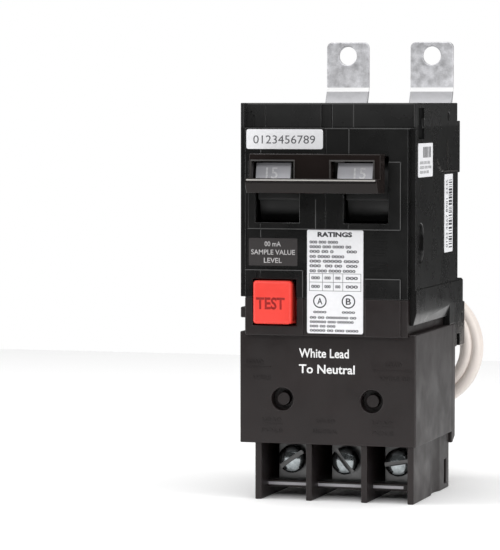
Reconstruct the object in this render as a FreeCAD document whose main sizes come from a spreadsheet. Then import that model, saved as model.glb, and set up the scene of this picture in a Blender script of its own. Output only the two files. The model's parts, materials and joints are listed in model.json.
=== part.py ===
import FreeCAD, Part

import math
import os
import re

import Sketcher

# A two-pole, bolt-on circuit breaker with a ground-fault module below it.
# Frame: +Z up, -Y towards the handle, +X to the right, origin under the middle of the footprint.
# Every y in this file is a depth behind the load module's front face; front_y moves it to the frame.

SIZES = {
    "Frame": {
        "front_y": -22.5,
        "half_w": 25.4,
        "pole_pitch": 25.4,
    },
    "Pole cases": {
        "cover_w": 6.6,
        "case_wall": 1.8,
        "nose_front": -2.0,
        "nose_half": 23.4,
        "nose_top": 104.3,
        "side_front": 0.5,
        "shoulder_front": 3.0,
        "case_top": 111.2,
        "case_floor": 57.0,
        "floor_thick": 2.0,
        "upper_back": 51.0,
        "boss_top": 106.0,
        "boss_back": 54.4,
        "boss_bottom": 91.0,
        "mid_back": 52.0,
        "step_top": 60.0,
        "step_back": 57.8,
        "foot_top": 53.0,
        "foot_back": 60.0,
        "foot_bottom": 40.4,
        "hook_front": 50.0,
        "hook_back": 54.0,
        "hook_top": 44.0,
        "skirt_bottom": 49.7,
        "skirt_slope": 3.6,
        "skirt_inset": 1.0,
        "rim_w": 1.0,
        "side_relief": 0.3,
        "flange_z": 59.7,
        "pocket_y": 6.1,
        "pocket_low": 70.65,
        "pocket_high": 73.95,
        "pocket_radius": 3.9,
        "pocket_depth": 1.0,
        "hollow_front": 2.2,
        "hollow_back": 50.0,
        "hollow_top": 102.6,
        "attic_front": 5.0,
        "attic_back": 49.0,
        "attic_top": 109.4,
        "groove_left": -2.7,
        "groove_right": 0.4,
        "groove_depth": 1.0,
        "handle_room": 1.0,
        "handle_room_front": 0.0,
    },
    "Raised panels": {
        "panel_rise": 0.5,
        "panel_left": -22.4,
        "panel_right": 21.5,
        "panel_bottom": 76.1,
        "panel_top": 95.0,
        "bay_left": -23.2,
        "bay_right": -6.4,
        "bay_top": 64.8,
        "low_panel_left": 11.3,
        "low_panel_top": 62.7,
    },
    "Handles": {
        "pivot_y": 14.0,
        "pivot_z": 86.0,
        "pin_radius": 1.5,
        "running_gap": 0.05,
        "slot_shift": -1.15,
        "slot_half": 6.35,
        "slot_bottom": 78.0,
        "slot_top": 96.5,
        "handle_half": 6.1,
        "handle_lift": 13.0,
        "hub_radius": 4.2,
        "shield_radius": 13.6,
        "shield_thick": 1.6,
        "shield_start": 72.0,
        "shield_sweep": 107.0,
        "collar_radius": 15.0,
        "collar_start": 33.0,
        "collar_sweep": 40.0,
        "stem_offset": 11.7,
        "stem_half": 5.0,
        "stem_thick": 4.8,
        "tip_reach": 22.6,
        "tip_rise": 3.8,
        "tip_shift": -1.625,
        "tip_offset": 11.675,
        "tip_half": 5.15,
        "face_thick": 0.4,
        "face_inset": 0.15,
        "tie_shift": -0.8,
        "tie_half": 18.7,
        "tie_front": -11.0,
        "tie_back": -6.0,
        "tie_top": 97.2,
        "tie_bottom": 86.5,
        "ledge_front": -15.0,
        "ledge_top": 90.55,
        "ledge_edge": 1.4,
        "chin_front": -13.6,
        "window_shift": -1.4,
        "window_offset": 11.3,
        "window_half": 6.0,
        "window_bottom": 87.9,
        "window_top": 95.2,
    },
    "Line tabs": {
        "tab_shift": 3.3,
        "tab_half": 6.4,
        "tab_thick": 1.5,
        "tab_back": 57.95,
        "tab_top": 129.0,
        "tab_corner": 1.6,
        "tab_hole_z": 125.0,
        "tab_hole_radius": 2.7,
        "tab_bend_z": 115.0,
        "tab_bend_rise": 0.2,
        "knee_back": 54.3,
        "knee_front": 53.35,
        "knee_z": 107.0,
        "knee_rise": 1.4,
        "strap_back": 47.75,
        "strap_bend_z": 105.0,
        "strap_bend_rise": 1.2,
        "strap_foot_z": 92.0,
        "tab_notch_front": 45.8,
        "tab_notch_bottom": 103.6,
        "contact_z": 98.0,
        "contact_radius": 2.4,
        "contact_thick": 1.0,
        "contact_gap": 0.1,
    },
    "Contact arms": {
        "arm_y": 25.0,
        "arm_z": 78.0,
        "arm_half": 1.5,
        "arm_eye": 3.0,
        "arm_width": 4.6,
        "small_pin": 1.0,
        "frame_front": 20.0,
        "frame_back": 44.0,
        "frame_bottom": 62.0,
        "frame_top": 82.0,
        "frame_left": 5.0,
        "frame_right": 4.0,
        "sheet_thick": 1.0,
        "cradle_y": 40.0,
        "cradle_z": 67.0,
        "cradle_half": 2.0,
        "cradle_tip": 22.0,
        "cradle_end": 42.2,
        "spring_y": 30.0,
        "spring_foot": 69.1,
        "spring_top": 74.8,
        "spring_radius": 1.7,
        "spring_wire": 0.25,
        "spring_pitch": 0.9,
    },
    "Arc chutes": {
        "chute_half": 6.3,
        "chute_side": 0.8,
        "chute_front": 22.5,
        "chute_back": 43.0,
        "chute_bottom": 91.0,
        "chute_top": 103.0,
        "chute_gap": 2.9,
        "chute_bridge": 3.0,
        "chute_plate": 0.8,
        "chute_pitch": 3.0,
    },
    "Thermal and magnetic trip": {
        "bimetal_x": 7.4,
        "bimetal_half": 2.0,
        "bimetal_front": 34.0,
        "bimetal_thick": 0.8,
        "bimetal_foot": 60.0,
        "bimetal_top": 84.0,
        "yoke_half": 3.2,
        "yoke_wall": 0.8,
        "yoke_front": 33.0,
        "yoke_back": 37.0,
        "yoke_bottom": 68.0,
        "yoke_top": 78.0,
        "armature_front": 30.8,
        "armature_back": 31.8,
        "armature_foot": 66.0,
        "armature_top": 80.0,
        "armature_roll": 0.9,
        "braid_radius": 1.0,
        "braid_rise": 4.4,
        "trip_y": 17.0,
        "trip_z": 65.0,
        "trip_radius": 1.6,
        "trip_reach": 20.0,
        "trip_hole": 2.4,
        "paddle_half": 2.0,
        "paddle_foot": 60.6,
        "paddle_thick": 1.6,
        "strike_back": 29.0,
        "strike_low": 62.0,
        "strike_high": 63.4,
        "strike_half": 1.4,
    },
    "Load module": {
        "module_back": 44.0,
        "module_bottom": 16.0,
        "module_top": 47.3,
        "module_wall": 2.0,
        "lid_back": 48.0,
        "lid_bottom": 12.8,
        "lid_lip": 1.0,
        "lid_slope": 1.6,
        "neck_half": 23.4,
        "neck_bottom": 46.5,
        "neck_back": 41.0,
        "nub_back": 6.0,
        "nub_bottom": 51.1,
        "nub_top": 54.1,
        "leg_1_left": -21.3,
        "leg_1_right": -19.4,
        "leg_2_left": -6.5,
        "leg_2_right": -4.8,
        "leg_3_left": 9.4,
        "leg_3_right": 11.2,
        "leg_4_left": 22.7,
        "leg_4_right": 24.5,
        "leg_front": 1.0,
        "scoop_y": 27.5,
        "scoop_radius": 20.0,
        "scoop_depth": 0.8,
        "heel_slot_front": 38.0,
        "heel_slot_back": 41.0,
        "heel_slot_bottom": 1.7,
        "heel_slot_top": 8.5,
        "heel_slot_depth": 1.0,
        "bay_wall_front": 26.0,
        "bay_wall_back": 28.0,
        "bay_wall_bottom": 3.0,
        "sill_front": 8.0,
        "sill_back": 10.5,
        "sill_bottom": 2.8,
        "sill_top": 4.8,
        "recess_left": -13.05,
        "recess_right": 12.7,
        "recess_z": 28.5,
        "recess_radius": 3.2,
        "recess_depth": 3.4,
        "recess_post": 1.9,
        "recess_post_front": 1.2,
        "recess_boss": 5.0,
        "recess_boss_back": 5.0,
    },
    "Load terminals": {
        "lug_1": -13.0,
        "lug_2": 2.5,
        "lug_3": 18.0,
        "lug_half": 4.5,
        "lug_front": 12.0,
        "lug_back": 24.0,
        "lug_bottom": 3.5,
        "lug_top": 15.9,
        "lug_floor": 13.9,
        "wire_half": 3.9,
        "wire_front": 14.5,
        "wire_back": 22.0,
        "strap_half": 4.0,
        "lug_strap_top": 30.0,
        "screw_z": 10.6,
        "screw_radius": 2.4,
        "screw_tip": 15.8,
        "head_radius": 3.9,
        "head_front": 8.0,
        "head_thick": 2.6,
        "slot_wide": 1.2,
        "slot_deep": 1.3,
        "plate_half": 3.6,
        "plate_thick": 1.2,
        "plate_bottom": 6.4,
        "plate_top": 13.4,
    },
    "Test button": {
        "button_x": -14.6,
        "button_half": 5.9,
        "button_gap": 0.4,
        "button_bottom": 49.7,
        "button_top": 61.8,
        "button_front": -4.0,
        "button_back": 5.0,
        "ear_reach": 6.5,
        "ear_front": 0.6,
        "ear_back": 2.0,
        "ear_top": 56.5,
        "button_room": 10.0,
        "test_spring_z": 52.6,
        "test_spring_radius": 2.2,
        "test_spring_wire": 0.3,
        "test_spring_pitch": 1.3,
        "test_blade_front": 12.6,
        "test_blade_thick": 0.6,
        "test_blade_half": 3.5,
        "test_blade_top": 55.0,
    },
    "Ground-fault module": {
        "board_front": 12.0,
        "board_back": 13.6,
        "board_half": 22.0,
        "board_bottom": 19.0,
        "board_top": 44.0,
        "ring_x": -8.0,
        "ring_y": 31.0,
        "ring_bottom": 33.0,
        "ring_top": 40.0,
        "ring_outer": 8.0,
        "ring_inner": 4.6,
        "coil_x": 4.6,
        "coil_y": 27.0,
        "coil_bottom": 42.0,
        "coil_top": 54.0,
        "coil_radius": 4.8,
        "coil_bore": 2.1,
        "bracket_thick": 1.2,
        "bracket_half": 5.4,
        "plunger_radius": 1.8,
        "plunger_bottom": 39.6,
        "plunger_top": 61.2,
        "lead_radius": 1.2,
    },
    "Neutral pigtail": {
        "pigtail_x": -17.0,
        "pigtail_z": 21.4,
        "bushing_radius": 3.0,
        "bushing_flange": 4.2,
        "bushing_flange_back": 49.4,
        "bushing_nose": 2.1,
        "bushing_end": 51.5,
        "pigtail_radius": 1.7,
        "hank_x": 10.2,
        "hank_z": 38.5,
        "hank_y": 69.25,
        "hank_outer": 18.9,
        "hank_inner": 10.4,
        "hank_half": 3.5,
        "tip_radius": 1.05,
        "tip_x": -10.0,
        "tip_z": 55.7,
        "tip_length": 12.0,
    },
    "Rivets and labels": {
        "rivet_radius": 1.5,
        "rivet_gap": 0.05,
        "rivet_1_y": 9.0,
        "rivet_1_z": 105.6,
        "rivet_2_y": 40.0,
        "rivet_2_z": 107.0,
        "rivet_3_y": 57.0,
        "rivet_3_z": 48.4,
        "paper": 0.1,
    },
}

ALIASES = {alias for section in SIZES.values() for alias in section}
OVERSHOOT = 0.5
TURN_SHARE = 0.45

document = FreeCAD.newDocument("GroundFaultBreaker")
sheet = document.addObject("Spreadsheet::Sheet", "Sizes")
sub_parts = []


def fill_sheet():
    """Write each section's heading, then one row per size: its name and its plain number."""
    row = 1
    for heading, section in SIZES.items():
        sheet.set(f"A{row}", heading)
        row += 1
        for alias, value in section.items():
            sheet.set(f"A{row}", alias)
            sheet.set(f"B{row}", str(value))
            sheet.setAlias(f"B{row}", alias)
            row += 1
    document.recompute()


def bound(formula):
    """A sheet expression from a formula that names sizes plainly."""
    def qualify(word):
        return "Sizes." + word[0] if word[0] in ALIASES else word[0]
    return re.sub(r"[a-z][a-z_0-9]*", qualify, str(formula))


def number(formula):
    """The present value of a formula, for shapes that no parametric object fits."""
    return float(sheet.evalExpression(bound(formula)))


def deep(formula):
    """A depth behind the load module's front face, as a y of the frame."""
    return f"front_y + ({formula})"


def minus(first, second):
    return f"({first}) - ({second})"


def sub_part(label, piece):
    """Name a finished piece and keep it for writing."""
    piece.Label = label
    sub_parts.append(piece)
    return piece


def locate(piece, corner):
    """Bind an object's position to formulas."""
    formulas = (corner[0], deep(corner[1]), corner[2])
    for axis, formula in zip("xyz", formulas):
        piece.setExpression(f"Placement.Base.{axis}", bound(formula))


def block(name, low, high):
    """A box between two opposite corners."""
    box = document.addObject("Part::Box", name)
    for side, start, end in zip(("Length", "Width", "Height"), low, high):
        box.setExpression(side, bound(minus(end, start)))
    locate(box, low)
    return box


DIRECTIONS = {
    "x": FreeCAD.Rotation(FreeCAD.Vector(0, 1, 0), 90),
    "y": FreeCAD.Rotation(FreeCAD.Vector(1, 0, 0), -90),
    "z": FreeCAD.Rotation(),
}


def rod(name, along, foot, radius, length):
    """A round bar from the centre of its first end."""
    bar = document.addObject("Part::Cylinder", name)
    bar.setExpression("Radius", bound(radius))
    bar.setExpression("Height", bound(length))
    bar.Placement = FreeCAD.Placement(FreeCAD.Vector(), DIRECTIONS[along])
    locate(bar, foot)
    return bar


def taper(name, along, foot, radius_1, radius_2, length):
    """A round taper from the centre of its first end."""
    cone = document.addObject("Part::Cone", name)
    cone.setExpression("Radius1", bound(radius_1))
    cone.setExpression("Radius2", bound(radius_2))
    cone.setExpression("Height", bound(length))
    cone.Placement = FreeCAD.Placement(FreeCAD.Vector(), DIRECTIONS[along])
    locate(cone, foot)
    return cone


PLANE_ROLES = {"x": "YZ_Plane", "y": "XZ_Plane", "z": "XY_Plane"}


def prism(name, along, outline, start, end):
    """A straight-sided outline padded along one axis.

    The outline's points are (y, z) along x, (x, z) along y and (x, y) along z.
    """
    body = document.addObject("PartDesign::Body", name)
    sketch = body.newObject("Sketcher::SketchObject", name + "_outline")
    plane = [item for item in body.Origin.OriginFeatures if item.Role == PLANE_ROLES[along]][0]
    sketch.AttachmentSupport = [(plane, "")]
    sketch.MapMode = "FlatFace"
    offset = f"-({deep(end)})" if along == "y" else start
    sketch.setExpression("AttachmentOffset.Base.z", bound(offset))
    points = [(deep(a) if along == "x" else a, deep(b) if along == "z" else b) for a, b in outline]
    values = [FreeCAD.Vector(number(a), number(b), 0) for a, b in points]
    for index, value in enumerate(values):
        following = values[(index + 1) % len(values)]
        sketch.addGeometry(Part.LineSegment(value, following), False)
    for index in range(len(points)):
        following = (index + 1) % len(points)
        sketch.addConstraint(Sketcher.Constraint("Coincident", index, 2, following, 1))
    for index, (point, value) in enumerate(zip(points, values)):
        for kind, formula, size in (("DistanceX", point[0], value.x), ("DistanceY", point[1], value.y)):
            constraint = sketch.addConstraint(Sketcher.Constraint(kind, -1, 1, index, 1, size))
            sketch.setExpression(f"Constraints[{constraint}]", bound(formula))
    pad = body.newObject("PartDesign::Pad", name + "_pad")
    pad.Profile = sketch
    pad.setExpression("Length", bound(minus(end, start)))
    return body


def fuse(name, *pieces):
    joined = document.addObject("Part::MultiFuse", name)
    joined.Shapes = list(pieces)
    return joined


def group(name, *pieces):
    """Separate solids of one kind, kept together."""
    kept = document.addObject("Part::Compound", name)
    kept.Links = list(pieces)
    return kept


def cut(name, base, *tools):
    result = document.addObject("Part::Cut", name)
    result.Base = base
    result.Tool = tools[0] if len(tools) == 1 else fuse(name + "_tools", *tools)
    return result


def round_edges(name, base, radius, chosen):
    """Round the edges whose middle point the test picks."""
    document.recompute()
    picked = [
        index + 1
        for index, edge in enumerate(base.Shape.Edges)
        if chosen(edge.valueAt((edge.FirstParameter + edge.LastParameter) / 2), edge)
    ]
    rounded = document.addObject("Part::Fillet", name)
    rounded.Base = base
    rounded.Edges = [(index, number(radius), number(radius)) for index in picked]
    return rounded


def coil_spring(name, along, foot, radius, wire, pitch, length):
    """A close round-wire helix from the centre of its first end."""
    helix = document.addObject("Part::Helix", name + "_line")
    helix.setExpression("Pitch", bound(pitch))
    helix.setExpression("Height", bound(f"({length}) - 2 * ({wire})"))
    helix.setExpression("Radius", bound(radius))
    section = document.addObject("Part::Circle", name + "_section")
    section.setExpression("Radius", bound(wire))
    section.Placement = FreeCAD.Placement(FreeCAD.Vector(), FreeCAD.Rotation(FreeCAD.Vector(1, 0, 0), 90))
    section.setExpression("Placement.Base.x", bound(radius))
    sweep = document.addObject("Part::Sweep", name)
    sweep.Sections = [section]
    sweep.Spine = (helix, [])
    sweep.Solid = True
    sweep.Frenet = True
    sweep.Placement = FreeCAD.Placement(FreeCAD.Vector(), DIRECTIONS[along])
    starts = [f"({value}) + ({wire})" if axis == along else value for axis, value in zip("xyz", foot)]
    locate(sweep, starts)
    return sweep


def bent_tube(name, route, radius):
    """A round tube along straight runs joined by tangent arcs, with its radii and volume printed."""
    shift = FreeCAD.Vector(0, number("front_y"), 0)
    points = [FreeCAD.Vector(*[number(value) for value in point]) + shift for point in route]
    thickness = number(radius)
    edges = []
    radii = []
    last = points[0]
    for before, corner, after in zip(points, points[1:], points[2:]):
        into = corner - before
        out_of = after - corner
        half_turn = into.getAngle(out_of) / 2
        reach = TURN_SHARE * min(into.Length, out_of.Length)
        radii.append(reach / math.tan(half_turn))
        into.normalize()
        out_of.normalize()
        begin = corner - into * reach
        finish = corner + out_of * reach
        inward = out_of - into
        inward.normalize()
        middle = corner + inward * (radii[-1] / math.cos(half_turn) - radii[-1])
        edges.append(Part.LineSegment(last, begin).toShape())
        edges.append(Part.Arc(begin, middle, finish).toShape())
        last = finish
    edges.append(Part.LineSegment(last, points[-1]).toShape())
    path = Part.Wire(edges)
    heading = points[1] - points[0]
    section = Part.Wire([Part.Circle(points[0], heading, thickness).toShape()])
    tube = document.addObject("Part::Feature", name)
    tube.Shape = path.makePipeShell([section], True, False)
    expected = math.pi * thickness ** 2 * path.Length
    rounded = ", ".join(f"{value:.1f}" for value in radii)
    print(f"{name}: length {path.Length:.1f}, radii {rounded}, volume ratio {tube.Shape.Volume / expected:.4f}")
    return tube


# Pole positions -----------------------------------------------------------------------------------

POLES = {"left": "-pole_pitch / 2", "right": "pole_pitch / 2"}


def pole_x(side, formula="0"):
    """A distance to the right of a pole's middle plane."""
    return f"{POLES[side]} + ({formula})"


def slot_x(side, formula="0"):
    """A distance to the right of the middle of a pole's handle slot."""
    return pole_x(side, f"slot_shift + ({formula})")


def stem_x(side, formula="0"):
    """A distance to the right of a handle stem's middle."""
    sign = "-" if side == "left" else ""
    return f"slot_shift + ({sign}stem_offset) + ({formula})"


# Pole cases ---------------------------------------------------------------------------------------

PANEL_FRONT = "nose_front - panel_rise"


def case_hollows():
    """Everything cut out of the four pole-case shells."""
    tools = []
    for side in POLES:
        left = pole_x(side, "case_wall - pole_pitch / 2")
        right = pole_x(side, "pole_pitch / 2 - case_wall")
        tools.append(block(
            side + "_hollow",
            (left, "hollow_front", "case_floor + floor_thick"),
            (right, "hollow_back", "hollow_top"),
        ))
        tools.append(block(
            side + "_handle_room",
            (slot_x(side, "-slot_half - handle_room"), "handle_room_front", "case_floor + floor_thick"),
            (slot_x(side, "slot_half + handle_room"), f"hollow_front + {OVERSHOOT}", "hollow_top"),
        ))
        tools.append(block(
            side + "_attic",
            (left, "attic_front", f"hollow_top - {OVERSHOOT}"),
            (right, "attic_back", "attic_top"),
        ))
        tools.append(block(
            side + "_slot",
            (slot_x(side, "-slot_half"), f"{PANEL_FRONT} - {OVERSHOOT}", "slot_bottom"),
            (slot_x(side, "slot_half"), f"handle_room_front + {OVERSHOOT}", "slot_top"),
        ))
        tools.append(block(
            side + "_tab_notch",
            (pole_x(side, "tab_shift - tab_half - contact_gap"), "tab_notch_front", "tab_notch_bottom"),
            (pole_x(side, "tab_shift + tab_half + contact_gap"), f"boss_back + {OVERSHOOT}",
             f"case_top + {OVERSHOOT}"),
        ))
        tools.append(rod(
            side + "_lead_hole", "z",
            (pole_x(side, "bimetal_x"), "bimetal_front + bimetal_thick / 2", f"case_floor - {OVERSHOOT}"),
            "lead_radius + button_gap", f"floor_thick + 2 * {OVERSHOOT}",
        ))
    for name, start, end in (
        ("left_corner", f"-half_w - {OVERSHOOT}", "-nose_half"),
        ("right_corner", "nose_half", f"half_w + {OVERSHOOT}"),
    ):
        tools.append(block(
            name,
            (start, f"nose_front - {OVERSHOOT}", "skirt_bottom"),
            (end, "side_front", "nose_top"),
        ))
    tools.append(block(
        "top_groove",
        ("groove_left", f"shoulder_front - {OVERSHOOT}", "nose_top"),
        ("groove_right", "shoulder_front + groove_depth", f"case_top + {OVERSHOOT}"),
    ))
    tools.append(block(
        "side_relief_cut",
        ("half_w - side_relief", f"nose_front - {OVERSHOOT}", "flange_z"),
        (f"half_w + {OVERSHOOT}", f"foot_back + {OVERSHOOT}", f"case_top + {OVERSHOOT}"),
    ))
    pocket_floor = "half_w - side_relief - pocket_depth"
    tools.append(block(
        "side_pocket",
        (pocket_floor, "pocket_y - pocket_radius", "pocket_low"),
        (f"half_w + {OVERSHOOT}", "pocket_y + pocket_radius", "pocket_high"),
    ))
    for end in ("low", "high"):
        tools.append(rod(
            f"side_pocket_{end}", "x", (pocket_floor, "pocket_y", "pocket_" + end),
            "pocket_radius", f"side_relief + pocket_depth + {OVERSHOOT}",
        ))
    tools.append(button_opening("case_button_opening"))
    tools.append(rod(
        "plunger_hole", "z",
        ("coil_x", "coil_y", f"case_floor - {OVERSHOOT}"),
        "trip_hole", f"floor_thick + 2 * {OVERSHOOT}",
    ))
    tools.append(rod(
        "trip_bar_hole", "x", (f"-case_wall - {OVERSHOOT}", "trip_y", "trip_z"),
        "trip_hole", f"2 * (case_wall + {OVERSHOOT})",
    ))
    for index in (1, 2, 3):
        tools.append(rod(
            f"rivet_hole_{index}", "x",
            (f"-half_w - {OVERSHOOT}", f"rivet_{index}_y", f"rivet_{index}_z"),
            "rivet_radius + rivet_gap", f"2 * (half_w + {OVERSHOOT})",
        ))
    return fuse("case_hollows", *tools)


CASE_OUTLINE = [
    ("nose_front", "case_floor"),
    ("nose_front", "nose_top"),
    ("shoulder_front", "nose_top"),
    ("shoulder_front", "case_top"),
    ("upper_back", "case_top"),
    ("upper_back", "boss_top"),
    ("boss_back", "boss_top"),
    ("boss_back", "boss_bottom"),
    ("mid_back", "boss_bottom"),
    ("mid_back", "step_top"),
    ("step_back", "step_top"),
    ("step_back", "foot_top"),
    ("foot_back", "foot_top"),
    ("foot_back", "foot_bottom"),
    ("hook_back", "foot_bottom"),
    ("hook_back", "hook_top"),
    ("hook_front", "hook_top"),
    ("hook_front", "foot_bottom"),
    ("lid_back", "foot_bottom"),
    ("lid_back", "module_top"),
    ("neck_back", "module_top"),
    ("neck_back", "case_floor"),
]


SKIRT_OUTLINE = [
    ("nose_half", "skirt_bottom"),
    ("half_w - skirt_inset", "skirt_bottom"),
    ("half_w", "skirt_bottom + skirt_slope"),
    ("half_w", "case_floor + floor_thick"),
    ("nose_half", "case_floor + floor_thick"),
]


def raised_panel(name, start, end, bottom, top):
    """A plate on the nose's front, deep enough into the wall to fuse with it."""
    return block(name, (start, PANEL_FRONT, bottom), (end, f"nose_front + {OVERSHOOT}", top))


def outer_rim(name, start, end):
    """The side wall's front edge, carried up past the shoulder to the case's top."""
    return block(name, (start, "side_front", "nose_top"), (end, f"shoulder_front + {OVERSHOOT}", "case_top"))


def pole_cases():
    """Two moulded cases, each a thin cover and a deep base that meet at a seam."""
    hollows = case_hollows()
    left_seam = "cover_w - half_w"
    shells = (
        ("left_pole_cover", "-half_w", left_seam, [
            raised_panel("panel_1", "panel_left", left_seam, "panel_bottom", "panel_top"),
            raised_panel("bay_1", "bay_left", left_seam, "case_floor", "bay_top"),
            outer_rim("left_rim", "-half_w", "rim_w - half_w"),
        ]),
        ("left_pole_base", left_seam, "0", [
            raised_panel("panel_2", left_seam, "0", "panel_bottom", "panel_top"),
            raised_panel("bay_2", left_seam, "bay_right", "case_floor", "bay_top"),
        ]),
        ("right_pole_cover", "0", "cover_w", [
            raised_panel("panel_3", "0", "cover_w", "panel_bottom", "panel_top"),
        ]),
        ("right_pole_base", "cover_w", "half_w", [
            raised_panel("panel_4", "cover_w", "panel_right", "panel_bottom", "panel_top"),
            raised_panel("low_panel", "low_panel_left", "panel_right", "case_floor", "low_panel_top"),
            outer_rim("right_rim", "half_w - rim_w", "half_w"),
            prism("skirt", "y", SKIRT_OUTLINE, "side_front", "neck_back + floor_thick"),
        ]),
    )
    for label, start, end, additions in shells:
        shell = prism(label + "_block", "x", CASE_OUTLINE, start, end)
        sub_part(label, cut(label + "_shell", fuse(label + "_solid", shell, *additions), hollows))


def case_rivets():
    rivets = [
        rod(
            f"rivet_{index}", "x", ("-half_w", f"rivet_{index}_y", f"rivet_{index}_z"),
            "rivet_radius", f"2 * half_w - {relief}",
        )
        for index, relief in ((1, "side_relief"), (2, "side_relief"), (3, "0"))
    ]
    sub_part("case_rivets", group("case_rivets_group", *rivets))


# Handles and tie ----------------------------------------------------------------------------------

def on_handle(reach, rise):
    """A point out along the handle from its pivot, and above the handle's middle line."""
    return (
        f"pivot_y - ({reach}) * cos(handle_lift) + ({rise}) * sin(handle_lift)",
        f"pivot_z + ({reach}) * sin(handle_lift) + ({rise}) * cos(handle_lift)",
    )


def handle_bar(name, left, right, near, far, low, high):
    """A square-edged bar along the handle's direction."""
    outline = [on_handle(near, low), on_handle(far, low), on_handle(far, high), on_handle(near, high)]
    return prism(name, "x", outline, left, right)


def tip_x(side, formula="0"):
    """A distance to the right of the middle of a handle's tip."""
    sign = "-" if side == "left" else ""
    return f"tip_shift + ({sign}tip_offset) + ({formula})"


def window_x(side, formula="0"):
    """A distance to the right of the middle of a window in the tie."""
    sign = "-" if side == "left" else ""
    return f"window_shift + ({sign}window_offset) + ({formula})"


def pivot_sector(name, left, width, radius, kind):
    """A pie slice about the pivot, from the named sector's upper edge down to its lower edge."""
    start = math.radians(SIZES["Handles"][kind + "_start"])
    slice_ = document.addObject("Part::Cylinder", name)
    slice_.setExpression("Radius", bound(radius))
    slice_.setExpression("Height", bound(width))
    slice_.setExpression("Angle", bound(kind + "_sweep"))
    along = FreeCAD.Vector(1, 0, 0)
    first = FreeCAD.Vector(0, -math.cos(start), math.sin(start))
    turn = FreeCAD.Rotation(first, along.cross(first), along, "ZXY")
    slice_.Placement = FreeCAD.Placement(FreeCAD.Vector(), turn)
    locate(slice_, (left, "pivot_y", "pivot_z"))
    return slice_


def handle(side):
    """A hub on its pin, a curved shield behind the slot, a collar on it, and the stem with its tip."""
    left = slot_x(side, "-handle_half")
    hub = rod(side + "_hub", "x", (left, "pivot_y", "pivot_z"), "hub_radius", "2 * handle_half")
    sectors = fuse(
        side + "_sectors",
        pivot_sector(side + "_shield_sector", left, "2 * handle_half", "shield_radius", "shield"),
        pivot_sector(side + "_collar_sector", left, "2 * handle_half", "collar_radius", "collar"),
    )
    shield = cut(side + "_shield", sectors, rod(
        side + "_shield_inner", "x", (f"{left} - {OVERSHOOT}", "pivot_y", "pivot_z"),
        "shield_radius - shield_thick", f"2 * (handle_half + {OVERSHOOT})",
    ))
    stem = handle_bar(
        side + "_stem", stem_x(side, "-stem_half"), stem_x(side, "stem_half"),
        "hub_radius / 2", "tip_reach", "-stem_thick / 2", "stem_thick / 2",
    )
    pad = handle_bar(
        side + "_tip", tip_x(side, "-tip_half"), tip_x(side, "tip_half"),
        "tip_reach - shield_thick", "tip_reach", "-stem_thick / 2", "tip_rise",
    )
    bore = rod(
        side + "_bore", "x", (f"{left} - {OVERSHOOT}", "pivot_y", "pivot_z"),
        "pin_radius + running_gap", f"2 * (handle_half + {OVERSHOOT})",
    )
    solid = fuse(side + "_handle_solid", hub, shield, stem, pad)
    sub_part(side + "_handle", cut(side + "_handle_bored", solid, bore))


def rating_faces():
    plates = [
        handle_bar(
            side + "_face", tip_x(side, "face_inset - tip_half"), tip_x(side, "tip_half - face_inset"),
            "tip_reach", "tip_reach + face_thick",
            "face_inset - stem_thick / 2", "tip_rise - face_inset",
        )
        for side in POLES
    ]
    sub_part("rating_faces", group("rating_faces_group", *plates))


def handle_tie():
    """One bar over both handles, with a ledge to pull on and a window over each rating face."""
    outline = [
        ("tie_back", "tie_bottom"),
        ("tie_back", "tie_top"),
        ("tie_front", "tie_top"),
        ("tie_front", "ledge_top"),
        ("ledge_front", "ledge_top"),
        ("ledge_front", "ledge_top - ledge_edge"),
        ("chin_front", "tie_bottom"),
    ]
    bar = prism("tie_bar", "x", outline, "tie_shift - tie_half", "tie_shift + tie_half")
    windows = [
        block(
            side + "_window",
            (window_x(side, "-window_half"), f"tie_front - {OVERSHOOT / 2}", "window_bottom"),
            (window_x(side, "window_half"), f"tie_back + {OVERSHOOT}", "window_top"),
        )
        for side in POLES
    ]
    sub_part("handle_tie", cut("handle_tie_cut", bar, *windows))


def handle_pivot_pins():
    pins = [
        rod(
            side + "_pivot_pin", "x",
            (pole_x(side, "case_wall - pole_pitch / 2"), "pivot_y", "pivot_z"),
            "pin_radius", "pole_pitch - 2 * case_wall",
        )
        for side in POLES
    ]
    sub_part("handle_pivot_pins", group("handle_pivot_pins_group", *pins))


# Line side ----------------------------------------------------------------------------------------

def line_tab(side):
    """A bolt-on strap: upright and drilled outside, leaning forward behind the case, then bent into it."""
    outline = [
        ("tab_back - tab_thick", "tab_top"),
        ("tab_back", "tab_top"),
        ("tab_back", "tab_bend_z"),
        ("knee_back", "knee_z"),
        ("strap_back", "strap_bend_z"),
        ("strap_back", "strap_foot_z"),
        ("strap_back - tab_thick", "strap_foot_z"),
        ("strap_back - tab_thick", "strap_bend_z + strap_bend_rise"),
        ("knee_front", "knee_z + knee_rise"),
        ("tab_back - tab_thick", "tab_bend_z + tab_bend_rise"),
    ]
    strap = prism(
        side + "_strap", "x", outline,
        pole_x(side, "tab_shift - tab_half"), pole_x(side, "tab_shift + tab_half"),
    )
    hole = rod(
        side + "_tab_hole", "y",
        (pole_x(side, "tab_shift"), f"tab_back - tab_thick - {OVERSHOOT}", "tab_hole_z"),
        "tab_hole_radius", f"tab_thick + 2 * {OVERSHOOT}",
    )
    top = number("tab_top")
    thick = number("tab_thick")

    def at_top_corner(middle, edge):
        return abs(middle.z - top) < OVERSHOOT and abs(edge.Length - thick) < OVERSHOOT / 2

    drilled = cut(side + "_tab_drilled", strap, hole)
    sub_part(side + "_line_tab", round_edges(side + "_tab_rounded", drilled, "tab_corner", at_top_corner))


def fixed_contacts():
    pads = [
        rod(
            side + "_fixed_contact", "y",
            (pole_x(side), "strap_back - tab_thick - contact_thick", "contact_z"),
            "contact_radius", "contact_thick",
        )
        for side in POLES
    ]
    sub_part("fixed_contacts", group("fixed_contacts_group", *pads))


# Contact arms, cradles and their frame ------------------------------------------------------------

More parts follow.
